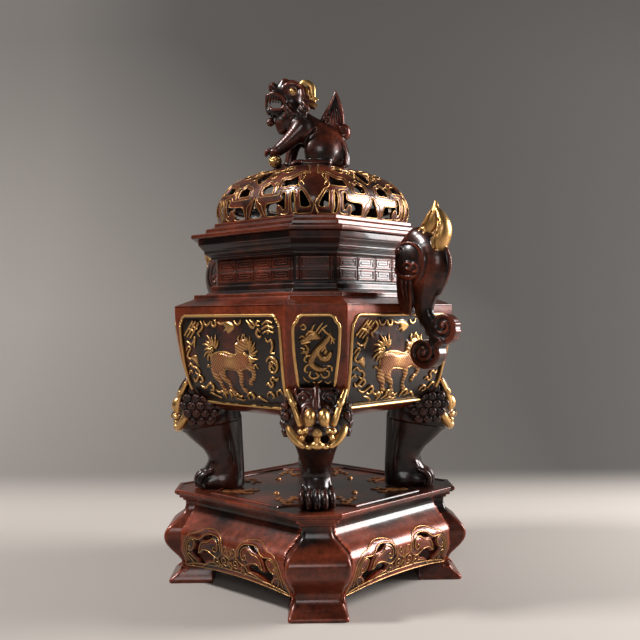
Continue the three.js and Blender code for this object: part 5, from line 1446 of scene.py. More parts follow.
def corner_relief():
    """The same for the corner panel."""
    low, high = (-28, 155), (28, 252)
    field = Stencil(low, high, 0.5).polygon(frame_line(CORNER_FRAME_HALF, False), smooth=False)
    body = Stencil(low, high, 0.4).stroke(DRAGON_BODY)
    for rows in DRAGON_PARTS:
        body.stroke(rows, blend=0.8)

    def relief(s, z):
        inner, beast = field.read(s, z), body.read(s, z)
        scale = 0.3 * scales(s, z) * np.clip(-beast / 1.2, 0, 1)
        return -GROUND_DEPTH * np.clip(-inner / GROUND_EDGE, 0, 1) + swell(beast, 2.2, 2.6) + scale

    def gold(s, z):
        return (0.62 + 0.3 * scales(s, z)) * np.clip(-body.read(s, z) / 0.4, 0, 1)

    def ground(s, z):
        return np.where(field.read(s, z) < 0, -0.3, 0.0)

    return relief, gold, ground


class BURNER_OT_belly(bpy.types.Operator):
    """Belly of the vessel: four broad panels with a walking beast, four corner panels with a dragon"""
    bl_idname = "burner.belly"
    bl_label = "Belly"

    def execute(self, context):
        cell = context.scene.burner_carving.relief_cell
        brown = carved_material(context, "brown")
        kinds = (
            ("broad", QUARTERS, broad_relief(), beast_strands() + PANEL_LINES, BROAD_FRAME_HALF),
            ("corner", DIAGONALS, corner_relief(), DRAGON_LINES, CORNER_FRAME_HALF),
        )
        for kind, angles, (relief, gold, ground), lines, frame_half in kinds:
            corner = kind == "corner"
            face = BellyFace(corner)
            points, faces, height = face.grid(cell, relief)
            s, z = points[:, 1], points[:, 2]
            hollow = np.clip((height.ravel() + 0.4) * 0.22, -0.3, 0.4)
            # Edge wear, partly a painted highlight: a paler line down each rounded upright edge of the
            # belly.
            ridge = 0.45 * np.exp(-((np.interp(z, face.z, face.half) - np.abs(s)) / 1.3) ** 2)
            values = {"wear_and_shade": worn(0.08 + hollow + ground(s, z) + ridge), "gilt": gold(s, z)}

            def on_ground(u, v, place=face.place):
                centre, normal = place(u, v)
                return centre - STROKE_DEPTH * normal, normal

            strokes = bundle([strand(row, on_ground, 6, lift=0.5) for row in lines])
            line = with_radius(frame_line(frame_half, not corner), 1.4)
            line = soft_path(line, 3.0, steps=3, support=3, closed=not corner)
            bead = strand(line, face.place, 10, endless=not corner, smooth=False, lift=0.15)
            for k, angle in enumerate(angles):
                stands_for = ("belly",) if not corner and k == 0 else ()
                mesh_piece(f"belly_{kind}_{k + 1}", "burner", "bronze", turned(points, angle), faces,
                           brown, values, stands_for)
                for part, (p, f), gilt in (("strokes", strokes, 0.8), ("bead", bead, 1.0)):
                    mesh_piece(f"belly_{kind}_{part}_{k + 1}", "burner", "gilt", turned(p, angle), f,
                               brown, {"wear_and_shade": 0.66, "gilt": gilt})
        self.rest(brown)
        return {"FINISHED"}

    def rest(self, material):
        """Foot, shoulder and bowl of the belly, as two lofts."""
        cut = BELLY_CUT
        foot = [(0.4, 0.1, BELLY_BOTTOM), (69.5, cut, BELLY_BOTTOM), (70.4, cut, BELLY_BOTTOM + 0.2)]
        inner = [(BELLY_HALF - inset - BELLY_WALL, cut, BELLY_BOTTOM + share * (BELLY_TOP - BELLY_BOTTOM))
                 for share, inset in BELLY_SIDE[::-1] if 0.08 < share < 0.9]
        bowl = [
            (BELLY_HALF, cut, BELLY_TOP - 1.2), (BELLY_HALF, cut, BELLY_TOP), (93.3, 30.5, 260.5),
            (93.3, 30.5, 264.3), (71.1, 23.3, 264.3), (71.1, 23.3, 257.2),
            (BELLY_HALF - BELLY_WALL, cut, 251.2), *inner,
            (BELLY_HALF - 31.5, cut, BELLY_BOTTOM + BELLY_FLOOR), (0.4, 0.1, BELLY_BOTTOM + BELLY_FLOOR),
        ]
        for name, profile in (("foot", foot), ("bowl", bowl)):
            points, faces = octagon_stack(profile, soft=1.0, round_edges=2.2)
            values = cast_values(points, faces)
            values["wear_and_shade"] = values["wear_and_shade"] * 0.6 + 0.26
            mesh_piece(f"belly_{name}", "burner", "bronze", points, faces, material, values)


# Neck and lid base, as (half width, height) from the inside bottom around.

NECK_SIDE = [
    (71.1, 264.2), (84.1, 264.2), (83.6, 265.6), (80.2, 267.2), (80.2, 271.8), (79.2, 272.8),
    (75.1, 273.5), (75.1, 295.0), (76.4, 295.6), (80.2, 297.0), (80.2, 299.2), (82.1, 300.2),
    (84.2, 301.0), (85.2, 302.4), (85.2, 304.6), (86.4, 305.6), (88.4, 308.4), (89.6, 309.6),
    (90.0, 315.5), (71.1, 315.5), (71.1, 264.2),
]
LID_BASE_SIDE = [
    (70.1, 306.6), (70.1, 315.7), (94.2, 315.7), (95.1, 316.4), (95.1, 319.0), (94.4, 319.6),
    (88.0, 320.0), (86.6, 320.6), (83.9, 321.4), (83.7, 324.6), (83.2, 325.0), (80.4, 325.5),
    (78.2, 326.2), (77.1, 327.2), (77.1, 330.2), (66.6, 330.2), (66.6, 306.6), (70.1, 306.6),
]


# Band of tiles from its lower to its upper edge, the middles of its two rows and the line between them.
TILE_BAND = (273.3, 295.2)
TILE_ROWS = (279.9, 290.3)
TILE_SPLIT = 285.1
# Half heights of a pad and of its dish, and how far a pad's middle line stops short of the tile's side.
PAD_HALF = 4.9
DISH_HALF = 4.0
PAD_SHORT = 5.3


def tile_relief(s, z, wide, count):
    """Two rows of pads with a shallow dish in each."""
    row = np.where(z > TILE_SPLIT, TILE_ROWS[1], TILE_ROWS[0])
    column = (np.floor(s / wide + count / 2) - count / 2 + 0.5) * wide
    square = np.maximum(np.abs(s - column) - (wide / 2 - PAD_SHORT), np.abs(z - row))
    pad = 0.75 * np.clip((PAD_HALF - square) / 0.5, 0, 1)
    return pad - 0.45 * np.clip((DISH_HALF - square) / 0.4, 0, 1)


def tile_spirals(reach, wide, count):
    """Square spiral line on each pad: runs along shrinking sides, the first 2.2 mm inside the edge."""
    def on_face(u, v):
        zero = 0 * u
        return np.stack([reach + 0.3 + zero, u, v + zero], -1), np.stack([zero + 1, zero, zero], -1)

    parts = []
    long = wide / 2 - 2.6
    spiral_line = np.array([
        (-long, 1.2), (-long, -3.2), (long, -3.2), (long, 3.2), (-long + 2.4, 3.2), (-long + 2.4, -1.1),
        (long - 2.4, -1.1), (long - 2.4, 1.1), (-long + 4.8, 1.1),
    ])
    line = soft_path(spiral_line, 0.9, steps=2, support=0.3)
    for turn, z in zip((1, -1), TILE_ROWS):
        for column in range(count):
            middle = (column - count / 2 + 0.5) * wide
            rows = with_radius(np.column_stack([middle + turn * line[:, 0], z + line[:, 1]]), 0.42)
            parts.append(strand(rows, on_face, 5, lift=0.2, smooth=False))
    return bundle(parts)


def tile_face(reach, half, wide, count):
    """Upright face with tiles, its ends bent a sixteenth of a turn to meet the next face."""
    cell, soft = 0.6, 1.6
    low, high = TILE_BAND
    z = np.linspace(low, high, int((high - low) / cell))[:, None]
    bend = soft * math.tan(math.pi / 8)
    middle = np.linspace(-1, 1, int(2 * half / cell))[None, :] * (half - bend)
    angles = np.linspace(0, math.pi / 8, 4)[1:][None, :]
    edge, fall = half - bend + soft * np.sin(angles), soft * (np.cos(angles) - 1)
    s = np.concatenate([-edge[:, ::-1], middle, edge], 1)
    drop = np.concatenate([fall[:, ::-1], 0 * middle, fall], 1)
    height = tile_relief(s, z, wide, count) * np.clip((half - bend - np.abs(s)) / 0.8, 0, 1)
    points = np.stack(np.broadcast_arrays(reach + height + drop, s, z), -1).reshape(-1, 3)
    return points, grid_faces(len(z), s.shape[1]), height.ravel()


class BURNER_OT_neck(bpy.types.Operator):
    """Stepped neck with its band of square-spiral tiles, and the lid's stepped base"""
    bl_idname = "burner.neck"
    bl_label = "Neck and lid base"

    def execute(self, context):
        share = CORNER_SHARE
        for name, body, slot, node, shade, profile in (
                ("neck_casting", "burner", "dark_bronze", "neck", "deep", NECK_SIDE),
                ("lid_base_casting", "lid", "bronze", "lid_base", "brown", LID_BASE_SIDE)):
            rows = [(half, half * share, z) for half, z in profile]
            points, faces = octagon_stack(rows, soft=0.8, round_edges=1.8)
            mesh_piece(name, body, slot, points, faces, carved_material(context, shade),
                       cast_values(points, faces), stands_for=(node,))
        half = 75.6
        for kind, reach, width, wide, count, angles in (
                ("broad", half, half * (1 - share), 23.6, 4, QUARTERS),
                ("corner", (2 - share) * half / ROOT2, half * share / ROOT2, 26.0, 1, DIAGONALS)):
            points, faces, height = tile_face(reach, width, wide, count)
            tiles = points, faces, {"wear_and_shade": worn(height * 0.7 - 0.2), "gilt": 0.0}
            spirals = *tile_spirals(reach, wide, count), {"wear_and_shade": 0.82, "gilt": 0.0}
            for k, angle in enumerate(angles):
                for part, (p, f, values) in (("tiles", tiles), ("spirals", spirals)):
                    mesh_piece(f"neck_{part}_{kind}_{k + 1}", "burner", "dark_bronze", turned(p, angle),
                               f, carved_material(context, "deep"), values)
        return {"FINISHED"}


# Dome

DOME_SIDE = [
    (72.0, 0), (73.6, 5), (74.5, 10.5), (74.3, 16), (72.7, 22), (70.6, 27), (67.7, 31.4), (64.6, 35.6),
    (60.5, 39.3), (55, 43.0), (48.2, 46.1), (42, 48.8), (36, 50.6), (33, 51.6), (28, 52.3), (20, 52.4),
    (0, 52.4),
]
# The dome's plan at a radius r is |x|^4.5 + |y|^4.5 = r^4.5.
POWER = 4.5
BOLT_HOLE = 3.3
GILT_LINE = 0.44
DOME_HOLES = [
    [(0, 19.6), (-1.6, 16.6), (-3.6, 11.4), (-6.4, 6.2), (-8.2, 1.6), (0, 1.2), (8.2, 1.6), (6.4, 6.2),
     (3.6, 11.4), (1.6, 16.6)], [(0, 33.2), (3.4, 34.8), (6.2, 38.4), (7.4, 43.6), (6.2, 49.4),
     (3.0, 53.0), (0, 53.8), (-3.0, 53.0), (-6.2, 49.4), (-7.4, 43.6), (-6.2, 38.4), (-3.4, 34.8)],
]
DOME_SIDE_HOLES = [
    [(15.0, 1.4), (14.0, 6.6), (14.8, 11.2), (17.4, 12.8), (25.0, 13.0), (32.6, 13.8), (34.4, 16.0),
     (33.8, 19.6), (36.2, 21.0), (38.4, 19.4), (38.6, 9.4), (37.4, 6.2), (34.6, 5.8), (33.0, 8.6),
     (30.8, 10.2), (28.4, 8.2), (27.6, 4.8), (28.6, 1.6)], [(44.6, 3.2), (44.2, 12.0), (44.6, 20.0),
     (46.4, 21.2), (48.4, 20.0), (48.8, 12.0), (48.4, 3.2), (46.4, 2.2)], [(8.2, 25.4), (9.6, 22.0),
     (15.0, 21.6), (22.0, 21.8), (22.6, 24.4), (21.2, 28.8), (18.6, 30.0), (15.4, 32.4), (12.4, 29.8),
     (9.2, 29.2)], [(31.4, 26.8), (31.0, 30.6), (31.8, 34.0), (37.8, 34.4), (41.8, 37.0), (46.0, 40.8),
     (49.4, 38.8), (50.0, 33.0), (49.0, 27.2), (40.0, 26.4)], [(12.6, 40.0), (15.4, 41.4), (16.2, 44.4),
     (14.4, 47.0), (11.6, 46.8), (10.2, 44.0), (10.8, 41.2)], [(22.0, 45.8), (27.2, 44.6), (31.6, 46.8),
     (32.2, 50.2), (27.8, 52.4), (22.8, 51.0), (20.6, 48.4)], [(13.6, 55.6), (18.8, 54.6), (23.4, 57.0),
     (23.0, 60.8), (17.6, 62.6), (12.8, 60.0)],
]
# Beside the corner shield, as (across the diagonal, way up the dome).
DOME_CORNER_HOLES = [
    [(12.6, 20.6), (12.2, 9.6), (10.4, 6.9), (6.2, 6.6), (3.6, 8.0), (4.4, 11.6), (7.2, 16.8),
     (9.8, 21.4), (11.6, 22.0)],
]
DOME_CORNER_LINES = [
    [(3.0, 1.0), (1.6, 4.6), (0.5, 9.6), (3.4, 14.6), (6.2, 19.4), (8.6, 23.2), (11.6, 25.0),
     (13.2, 28.0), (11.8, 31.2), (9.4, 29.6), (8.6, 26.8)], [(11.8, 31.2), (10.2, 35.4), (10.0, 40.6),
     (3.6, 41.0), (3.4, 47.0), (3.6, 54.0), (4.0, 62.0), (4.6, 68.0)], [(17.0, 22.6), (16.8, 10.0),
     (16.4, 4.4), (13.8, 1.6), (8.0, 1.4), (3.0, 1.6)],
]
DOME_SIDE_LINES = [
    [(4.2, 19.8), (9.0, 19.2), (24.4, 19.0), (30.0, 19.4), (31.4, 22.4), (35.6, 23.6), (41.0, 22.6),
     (42.2, 20.0), (42.0, 8.0), (40.6, 3.2), (36.0, 1.8), (31.4, 2.4)], [(12.4, 1.4), (10.6, 6.4),
     (9.4, 11.6), (5.6, 14.8), (2.6, 18.6)], [(4.4, 21.4), (4.6, 25.2), (5.4, 29.6), (8.8, 32.2),
     (12.6, 33.4), (15.6, 35.4), (19.0, 33.2), (21.0, 31.2), (23.4, 32.6), (25.8, 31.6), (25.2, 28.8),
     (26.2, 24.2), (25.6, 20.6)], [(27.6, 24.6), (27.4, 30.0), (28.6, 36.6), (35.6, 37.4), (39.6, 40.0),
     (43.6, 43.8), (50.8, 43.0)], [(8.6, 36.4), (8.4, 40.6), (9.0, 46.6), (12.6, 49.4), (16.8, 48.4),
     (18.6, 44.4), (17.0, 39.8), (13.0, 37.6)], [(0.0, 56.6), (5.0, 56.0), (9.4, 52.2), (18.0, 52.4)],
]


class DomeShape:
    """Meridian of the dome and the map from (across, way up) to its surface."""

    def __init__(self):
        line = smooth_line(DOME_SIDE, 6)
        self.r, self.z = line[:, 0], line[:, 1]
        self.arc = np.concatenate([[0], np.cumsum(np.hypot(np.diff(self.r), np.diff(self.z)))])
        angle = np.linspace(0, math.pi / 4, 200)
        size = (np.cos(angle) ** POWER + np.sin(angle) ** POWER) ** (-1 / POWER)
        self.a, self.b = size * np.cos(angle), size * np.sin(angle)
        self.rasters()

    def rasters(self):
        """Distance to the meridian and way up it, for places in the plane of (radius, height)."""
        self.flat, self.way = (Stencil((0, -4), (80, 58), 0.4) for _ in range(2))
        outline = np.concatenate([[(0, -8), (72, -8)], np.column_stack([self.r, self.z])])
        self.flat.polygon(outline, smooth=False)
        best = np.full(self.way.d.shape, 1e3)
        for r, z, arc in zip(self.r, self.z, self.arc):
            away = np.hypot(self.way.u - r, self.way.v - z)
            self.way.d = np.where(away < best, arc, self.way.d)
            best = np.minimum(best, away)

    def side_place(self, u, v):
        """Surface point for the middle of a side, from x = (r^4.5 - |u|^4.5)^(1/4.5)."""
        r = np.interp(v, self.arc, self.r)
        x = np.maximum(r ** POWER - np.abs(u) ** POWER, 1) ** (1 / POWER)
        return self.finish(np.stack([x, u + 0 * x, np.interp(v, self.arc, self.z)], -1), v)

    def corner_place(self, t, v):
        """Surface point at a distance t across the diagonal, in the frame whose X is the diagonal."""
        r = np.interp(v, self.arc, self.r)
        across, along = (self.a - self.b) / ROOT2, (self.a + self.b) / ROOT2
        reach = np.interp(np.abs(t) / r, across[::-1], along[::-1]) * r
        return self.finish(np.stack([reach, t + 0 * reach, np.interp(v, self.arc, self.z)], -1), v)

    def finish(self, points, v):
        """Adds the height of the dome's foot and the outward direction read from the meridian."""
        in_step, out = (np.interp(v + 0.5, self.arc, c) - np.interp(v - 0.5, self.arc, c)
                        for c in (self.r, self.z))
        up = -in_step
        plane = points[..., :2]
        plane = plane / np.maximum(np.linalg.norm(plane, axis=-1, keepdims=True), 1e-6)
        normal = np.concatenate([plane * out[..., None], up[..., None]], -1)
        normal /= np.maximum(np.linalg.norm(normal, axis=-1, keepdims=True), 1e-6)
        return points + np.array([0, 0, DOME_BASE]), normal


def dome_clay(shape, cell):
    """Shell under the meridian, pierced by the openings and thickest at the plateau."""
    clay = Clay((-77, -77, -1.5), (77, 77, 54.5), cell)
    x, y, z = clay.everywhere()
    a, b = (pick(np.abs(x), np.abs(y)) + 0 * z for pick in (np.maximum, np.minimum))
    r = (a ** POWER + b ** POWER) ** (1 / POWER)
    outer, way = (field.read(r, z + 0 * r) for field in (shape.flat, shape.way))
    sides = Stencil((-1, -2), (62, 80), 0.4)
    for outline in DOME_HOLES + DOME_SIDE_HOLES:
        sides.polygon(outline)
    corners = Stencil((-1, -2), (30, 80), 0.4)
    for outline in DOME_CORNER_HOLES:
        corners.polygon(outline)
    t = (a - b) / ROOT2
    near_side = np.where(t > 13.5, sides.read(np.minimum(b, 61), way), 5.0)
    near_corner = np.where(t < 26, corners.read(np.minimum(t, 29), way), 5.0)
    hole = np.minimum(near_side, near_corner)
    rim = 0.45 * np.clip(1 - np.abs(hole - 0.9) / 1.2, 0, 1)
    wall = np.where(r < 36, 3.4, 3.0)
    shell = np.maximum(outer - rim, -(outer + wall))
    clay.d = np.maximum(np.maximum(shell, -hole), 0.02 - z).astype(np.float32)
    clay.trim(BOLT_HOLE - np.hypot(x, y))
    clay.low[2] += DOME_BASE
    return clay


class BURNER_OT_dome(bpy.types.Operator):
    """Pierced dome of the lid: scrolled bands with gilded edges and a shield on each corner"""
    bl_idname = "burner.dome"
    bl_label = "Dome"

    def execute(self, context):
        shape = DomeShape()
        points, faces, values = clay_surface(
            dome_clay(shape, OPENWORK_CELL * context.scene.burner_carving.cell))
        plan = (np.abs(points[:, 0]) ** POWER + np.abs(points[:, 1]) ** POWER) ** (1 / POWER)
        # Painted shade: the inner face of the shell, more than 1 mm inside the outer surface, is made
        # darkest.
        inner_shade = np.clip(-shape.flat.read(plan, points[:, 2] - DOME_BASE) - 1.0, 0, 1)
        values["wear_and_shade"] = (values["wear_and_shade"] - 0.1) * (1 - inner_shade)
        brown = carved_material(context, "brown")
        mesh_piece("dome_openwork", "lid", "bronze", points, faces, carved_material(context, "deep"),
                   values, stands_for=("lid_dome",))
        for kind, place, loops, lines, radius, angles in (
                ("side", shape.side_place, DOME_HOLES + both_sides(DOME_SIDE_HOLES),
                 both_sides(DOME_SIDE_LINES), GILT_LINE, QUARTERS),
                ("corner", shape.corner_place, both_sides(DOME_CORNER_HOLES),
                 both_sides(DOME_CORNER_LINES), 0.5, DIAGONALS)):
            points, faces = bundle(
                [strand(with_radius(line, GILT_LINE), place, 6, endless=True) for line in loops]
                + [strand(with_radius(line, radius), place, 6) for line in lines])
            for k, angle in enumerate(angles):
                mesh_piece(f"dome_gilding_{kind}_{k + 1}", "lid", "gilt", turned(points, angle), faces,
                           brown, {"wear_and_shade": 0.52, "gilt": 0.82})
        return {"FINISHED"}


# Stand

POST_SIDE = [
    (0, 134.6, 24.5), (1.0, 135, 24.7), (2.8, 134.9, 24.6), (5.0, 132.6, 23.8), (8.4, 128.4, 22.3),
    (12, 125.4, 21.1), (16, 123.8, 20.4), (20, 124.2, 20.6), (24, 126.8, 21.8), (29, 131.4, 23.8),
    (34.4, 135.9, 25.4), (39, 138.4, 26.3), (44, 139.1, 26.6), (48, 138.0, 26.0), (52, 135.2, 24.6),
    (56, 130.4, 21.2), (59.2, 126.4, 18.0), (62, 123.6, 15.2), (65, 122.0, 13.2), (69.6, 120.8, 11.9),
    (73.6, 121.2, 12.2),
]
POST_CAP = [
    (74.0, 121.4, 12.6), (74.4, 123.2, 14.6), (76.6, 123.2, 14.6), (77.2, 126.2, 17.5),
    (80, 126.2, 17.5),
]
APRON_SIDE = [
    (9.6, 98.8), (20.8, 101), (32, 106), (44, 107), (48, 106.4), (52.8, 103.4), (58, 97.6), (64, 91.4),
    (67, 89.4), (70.4, 88), (75.2, 89.5), (80, 91.5),
]
APRON_THICK = 6.0
STAND_UNDER = 80
POST_BACK = 94.8
APRON_GILT_LINE = 0.48
STUD_REACH = 50


def post_mesh():
    """One post in its own frame, X along the diagonal: rings whose front corners are rounded."""
    body = smooth_line(POST_SIDE, 3)
    cap = soft_path([body[-1], *POST_CAP], 0.5, steps=2, support=0.3)
    rows = np.concatenate([[(0.0, 134.2, 24.0)], body, cap[1:]])
    rings = []
    for z, reach, half in rows:
        plan = [(POST_BACK, -half), (reach, -half), (reach, half), (POST_BACK, half)]
        ring = soft_path(plan, [1.0, 3.2, 3.2, 1.0], steps=4, support=1.0, closed=True)
        rings.append(np.column_stack([ring, np.full(len(ring), z)]))
    rings = np.array(rings)
    return rings.reshape(-1, 3), grid_faces(len(rings), rings.shape[1], around=True)


def post_place(u, v):
    """Side of a post near its foot: u along the diagonal, v the height."""
    half = np.interp(v, *np.array(POST_SIDE)[:, [0, 2]].T)
    zero = 0 * half
    return np.stack([u + zero, half, v + zero], -1), np.stack([zero, zero + 1, zero], -1)


APRON_ARCHES = [
    [(9.6, 37.0), (9.2, 41.4), (9.9, 45.6), (12.2, 49.8), (16.0, 53.0), (22.4, 55.0), (29.6, 55.7),
     (36.8, 55.0), (42.2, 52.8), (47.0, 50.4), (52.0, 49.4), (56.4, 47.6), (60.4, 43.8), (63.4, 38.6),
     (65.2, 32.6), (66.6, 26.0), (67.8, 20.6), (68.4, 18.0)], [(12.2, 40.6), (12.4, 45.0), (14.6, 49.0),
     (18.0, 51.0), (24.3, 51.9), (30.5, 51.8), (35.2, 50.2), (38.4, 47.4), (42.6, 45.4), (48.4, 45.6),
     (53.0, 45.4), (57.0, 42.8), (60.0, 39.0), (61.8, 33.6), (62.4, 27.6), (61.4, 22.4)],
]
APRON_LEAF = [
    (42.2, 33.6), (40.6, 38.2), (38.4, 42.0), (35.0, 44.0), (31.0, 44.6), (27.6, 46.0), (24.4, 48.4),
    (20.6, 49.0), (17.2, 47.6), (15.4, 44.2), (15.6, 40.8), (18.0, 38.4), (21.0, 39.0), (21.6, 41.4),
    (19.6, 42.6), (18.6, 41.2),
]
APRON_SMALL_LEAF = [
    (47, 42.4), (49.6, 44.2), (53, 43.6), (56.6, 40.8), (59, 36.4), (60, 31.2), (56, 33), (50, 36),
]
APRON_LINES = [
    APRON_LEAF, [(42.2, 33.6), (39.8, 34.6), (36.8, 37.2), (31.8, 37.8), (26.4, 36.8), (21.6, 34.6),
     (17.4, 33.6), (13.4, 35.2), (10.8, 37.8)], [(47.0, 42.4), (48.6, 38.6), (51.6, 35.0), (55.6, 33.6),
     (57.2, 36.0), (55.2, 37.4), (53.8, 35.6)], [(47.0, 42.4), (49.6, 44.2), (53.0, 43.6), (56.6, 40.8),
     (59.0, 36.4), (60.0, 31.2), (59.0, 26.4)], [(58.6, 30.4), (55.6, 30.0), (52.8, 27.4), (49.6, 25.4),
     (48.6, 22.4), (51.0, 20.8), (52.2, 22.8)], [(59.0, 26.4), (56.4, 23.6), (54.6, 20.4), (55.6, 17.6),
     (58.2, 18.6), (57.6, 20.8)], [(0.0, 35.0), (2.6, 36.6), (6.2, 38.4), (8.6, 41.4), (7.4, 44.6),
     (4.4, 45.0), (3.0, 42.6), (4.8, 41.0), (6.0, 42.6)], [(0.0, 36.8), (1.8, 38.8), (2.2, 41.4),
     (0.0, 43.6)], [(2.2, 33.8), (2.8, 30.4), (6.0, 28.4), (9.6, 29.4), (10.8, 32.6), (8.8, 35.2),
     (5.8, 34.6), (5.4, 31.8), (7.8, 31.2)], [(12.0, 26.2), (14.4, 28.4), (14.8, 31.6), (17.6, 33.4),
     (21.0, 31.8), (21.8, 28.2), (19.4, 25.8), (16.4, 26.4), (16.2, 29.4), (18.4, 30.0)], [(21.8, 28.2),
     (27.0, 27.4), (33.0, 25.2), (39.6, 21.8), (44.4, 18.8)], [(0.0, 25.4), (10.0, 25.2), (20.0, 24.9),
     (33.0, 23.8), (45.0, 22.2), (54.0, 20.8), (61.0, 19.4), (66.0, 17.8)], [(0.0, 20.7), (10.0, 20.7),
     (20.0, 20.4), (33.0, 19.8), (45.0, 18.9), (54.0, 18.0), (62.0, 17.1), (68.0, 16.5)], [(0.0, 26.0),
     (1.4, 28.4), (1.2, 31.6), (0.0, 33.4)],
]
APRON_OPENINGS = [
    [(14.2, 40.0), (14.0, 44.0), (16.0, 48.0), (19.6, 50.0), (24.6, 50.6), (30.4, 50.4), (34.4, 48.8),
     (37.6, 46.0), (42.0, 43.8), (46.0, 43.6), (46.4, 40.0), (49.4, 35.6), (53.0, 32.4), (51.4, 28.6),
     (47.8, 26.0), (46.6, 22.2), (42.6, 22.4), (36.4, 26.0), (30.6, 28.6), (24.4, 29.4), (22.8, 32.2),
     (27.0, 35.2), (32.0, 36.2), (36.2, 35.6), (40.4, 32.4), (44.2, 32.6), (43.0, 38.6), (40.0, 43.6),
     (35.6, 46.0), (31.4, 46.4), (28.2, 47.8), (24.6, 49.6), (19.6, 49.8), (15.6, 47.4)], [(11.4, 29.4),
     (12.4, 33.6), (14.0, 33.0), (13.4, 29.4)], [(-1.4, 27.2), (-1.6, 30.4), (0, 32.8), (1.6, 30.4),
     (1.4, 27.2)],
]


def apron_stencil():
    """Empty drawing of half an apron, as (across, height)."""
    return Stencil((0, 8), (90, 82), 0.4)


def inside_arch():
    """Field framed by the outer arch and the foot line of the apron."""
    foot = [(60, 14), (46, 17), (30, 21), (0, 23.4), (0, 37)]
    return apron_stencil().polygon(APRON_ARCHES[0] + foot, smooth=False)


def apron_bow(z):
    """Outward place of the apron's front at a height, and its slope."""
    line = smooth_line(APRON_SIDE, 6)
    slopes = np.gradient(line[:, 1], line[:, 0])
    return np.interp(z, line[:, 0], line[:, 1]), np.interp(z, line[:, 0], slopes)


def foot_arch(x):
    """Height of the apron's lower edge at a distance across: a cubic curve through four pulls.

    place = (1 - u)^3 p0 + 3 (1 - u)^2 u p1 + 3 (1 - u) u^2 p2 + u^3 p3.
    """
    u = np.linspace(0, 1, 60)
    pulls = (1 - u) ** 3, 3 * (1 - u) ** 2 * u, 3 * (1 - u) * u ** 2, u ** 3
    across, rise = (sum(pull * p for pull, p in zip(pulls, row))
                    for row in ((92.5, 46, 12, 0), (12, 19.5, 19.5, 19.5)))
    return np.interp(x, across[::-1], rise[::-1])


def apron_clay(cell):
    """The apron on the outward Y side: a bowed slab with relief, pierced, cut to the posts."""
    clay = Clay((-96, 78, 8), (96, 110, 82), cell)
    x, y, z = clay.everywhere()
    front, slope = apron_bow(z)
    size = np.sqrt(1 + slope ** 2)
    openings, leaf = apron_stencil(), apron_stencil()
    for outline in APRON_OPENINGS:
        openings.polygon(outline)
    leaf.polygon(APRON_LEAF + [(24, 36.2), (31.8, 37.6), (36.8, 37.0)], smooth=False)
    leaf.polygon(APRON_SMALL_LEAF)
    band = apron_stencil().polygon(APRON_ARCHES[0] + APRON_ARCHES[1][::-1], smooth=False)
    place = np.abs(x) + 0 * z, z + 0 * x
    relief = swell(band.read(*place), 0.9, 1.5) + swell(leaf.read(*place), 0.9, 2.5)
    sunk = 0.7 * np.clip(-inside_arch().read(*place) / 1.5, 0, 1)
    carved = (y - front) / size - relief + sunk
    slab = np.maximum(carved, -(y - front + APRON_THICK) / size)
    half = np.interp(z, *np.array(POST_SIDE + POST_CAP[1:])[:, [0, 2]].T)
    beside = (half + 0.35) - (y - np.abs(x)) / ROOT2
    below = foot_arch(np.abs(x)) - z
    clay.d = np.maximum(np.maximum(slab, -openings.read(*place)), beside)
    clay.trim(below, z - STAND_UNDER + SEAT_GAP)
    clay.d = clay.d.astype(np.float32)
    return clay


def apron_place(u, v):
    """Front of the apron whose outward side is Y."""
    front, slope = apron_bow(v)
    size = np.sqrt(1 + slope ** 2)
    zero = 0 * front
    return np.stack([u + zero, front, v + zero], -1), np.stack([zero, 1 / size, -slope / size], -1)


def star_radius(polygon, angles):
    """Distance from the origin to a star-shaped polygon along each angle."""
    p = np.asarray(polygon, float)
    q = np.roll(p, -1, axis=0)
    c, s = np.cos(angles)[:, None], np.sin(angles)[:, None]
    step = q - p
    cross = c * step[None, :, 1] - s * step[None, :, 0]
    cross = np.where(np.abs(cross) < 1e-9, 1e-9, cross)
    reach = (p[None, :, 0] * step[None, :, 1] - p[None, :, 1] * step[None, :, 0]) / cross
    share = (p[None, :, 0] * s - p[None, :, 1] * c) / cross
    fits = (share >= -1e-6) & (share <= 1 + 1e-6) & (reach > 0)
    return np.where(fits, reach, 0).max(1)


def plate_outline(inset):
    """Straight rims between four ears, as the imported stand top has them."""
    side, half, reach = 103 - inset, 19.5 - inset, 129.7 - inset
    shoulder = side * ROOT2 - half
    points = []
    for k in range(4):
        angle = math.radians(45 + 90 * k)
        c, s = math.cos(angle), math.sin(angle)
        for r, t in ((shoulder, -half), (reach, -half), (reach, half), (shoulder, half)):
            points.append((c * r - s * t, s * r + c * t))
    return points


def field_outline(inset):
    """Bracket outline of the sunk field: straight sides that bow in around each paw."""
    edge, bow = 89 - inset, 46
    points = []
    for k in range(4):
        angle = k * math.pi / 2
        c, s = math.cos(angle), math.sin(angle)
        a, b = np.array([edge, edge - bow]), np.array([edge - bow, edge])
        pull = np.array([edge - bow * 0.75] * 2)
        for t in np.linspace(0, 1, 14):
            x, y = (1 - t) ** 2 * a + 2 * t * (1 - t) * pull + t ** 2 * b
            points.append((c * x - s * y, s * x + c * y))
    return points


CLOUDS = [
    [(60, 20, 1.4), (66, 24, 1.8), (72, 22, 2.0), (75, 26, 2.0), (71, 30, 1.9), (66, 29, 1.4),
     (67, 26, 0.9)], [(75, 26, 1.6), (80, 28, 1.8), (84, 25, 1.8), (82, 21, 1.4), (79, 23, 0.9)],
    [(58, 12, 1.0), (60, 17, 1.6), (57, 22, 1.7), (53, 21, 1.4), (54, 18, 0.9)], [(66, 30, 1.2),
     (63, 34, 1.6), (58, 33, 1.4), (59, 30, 0.8)],
]


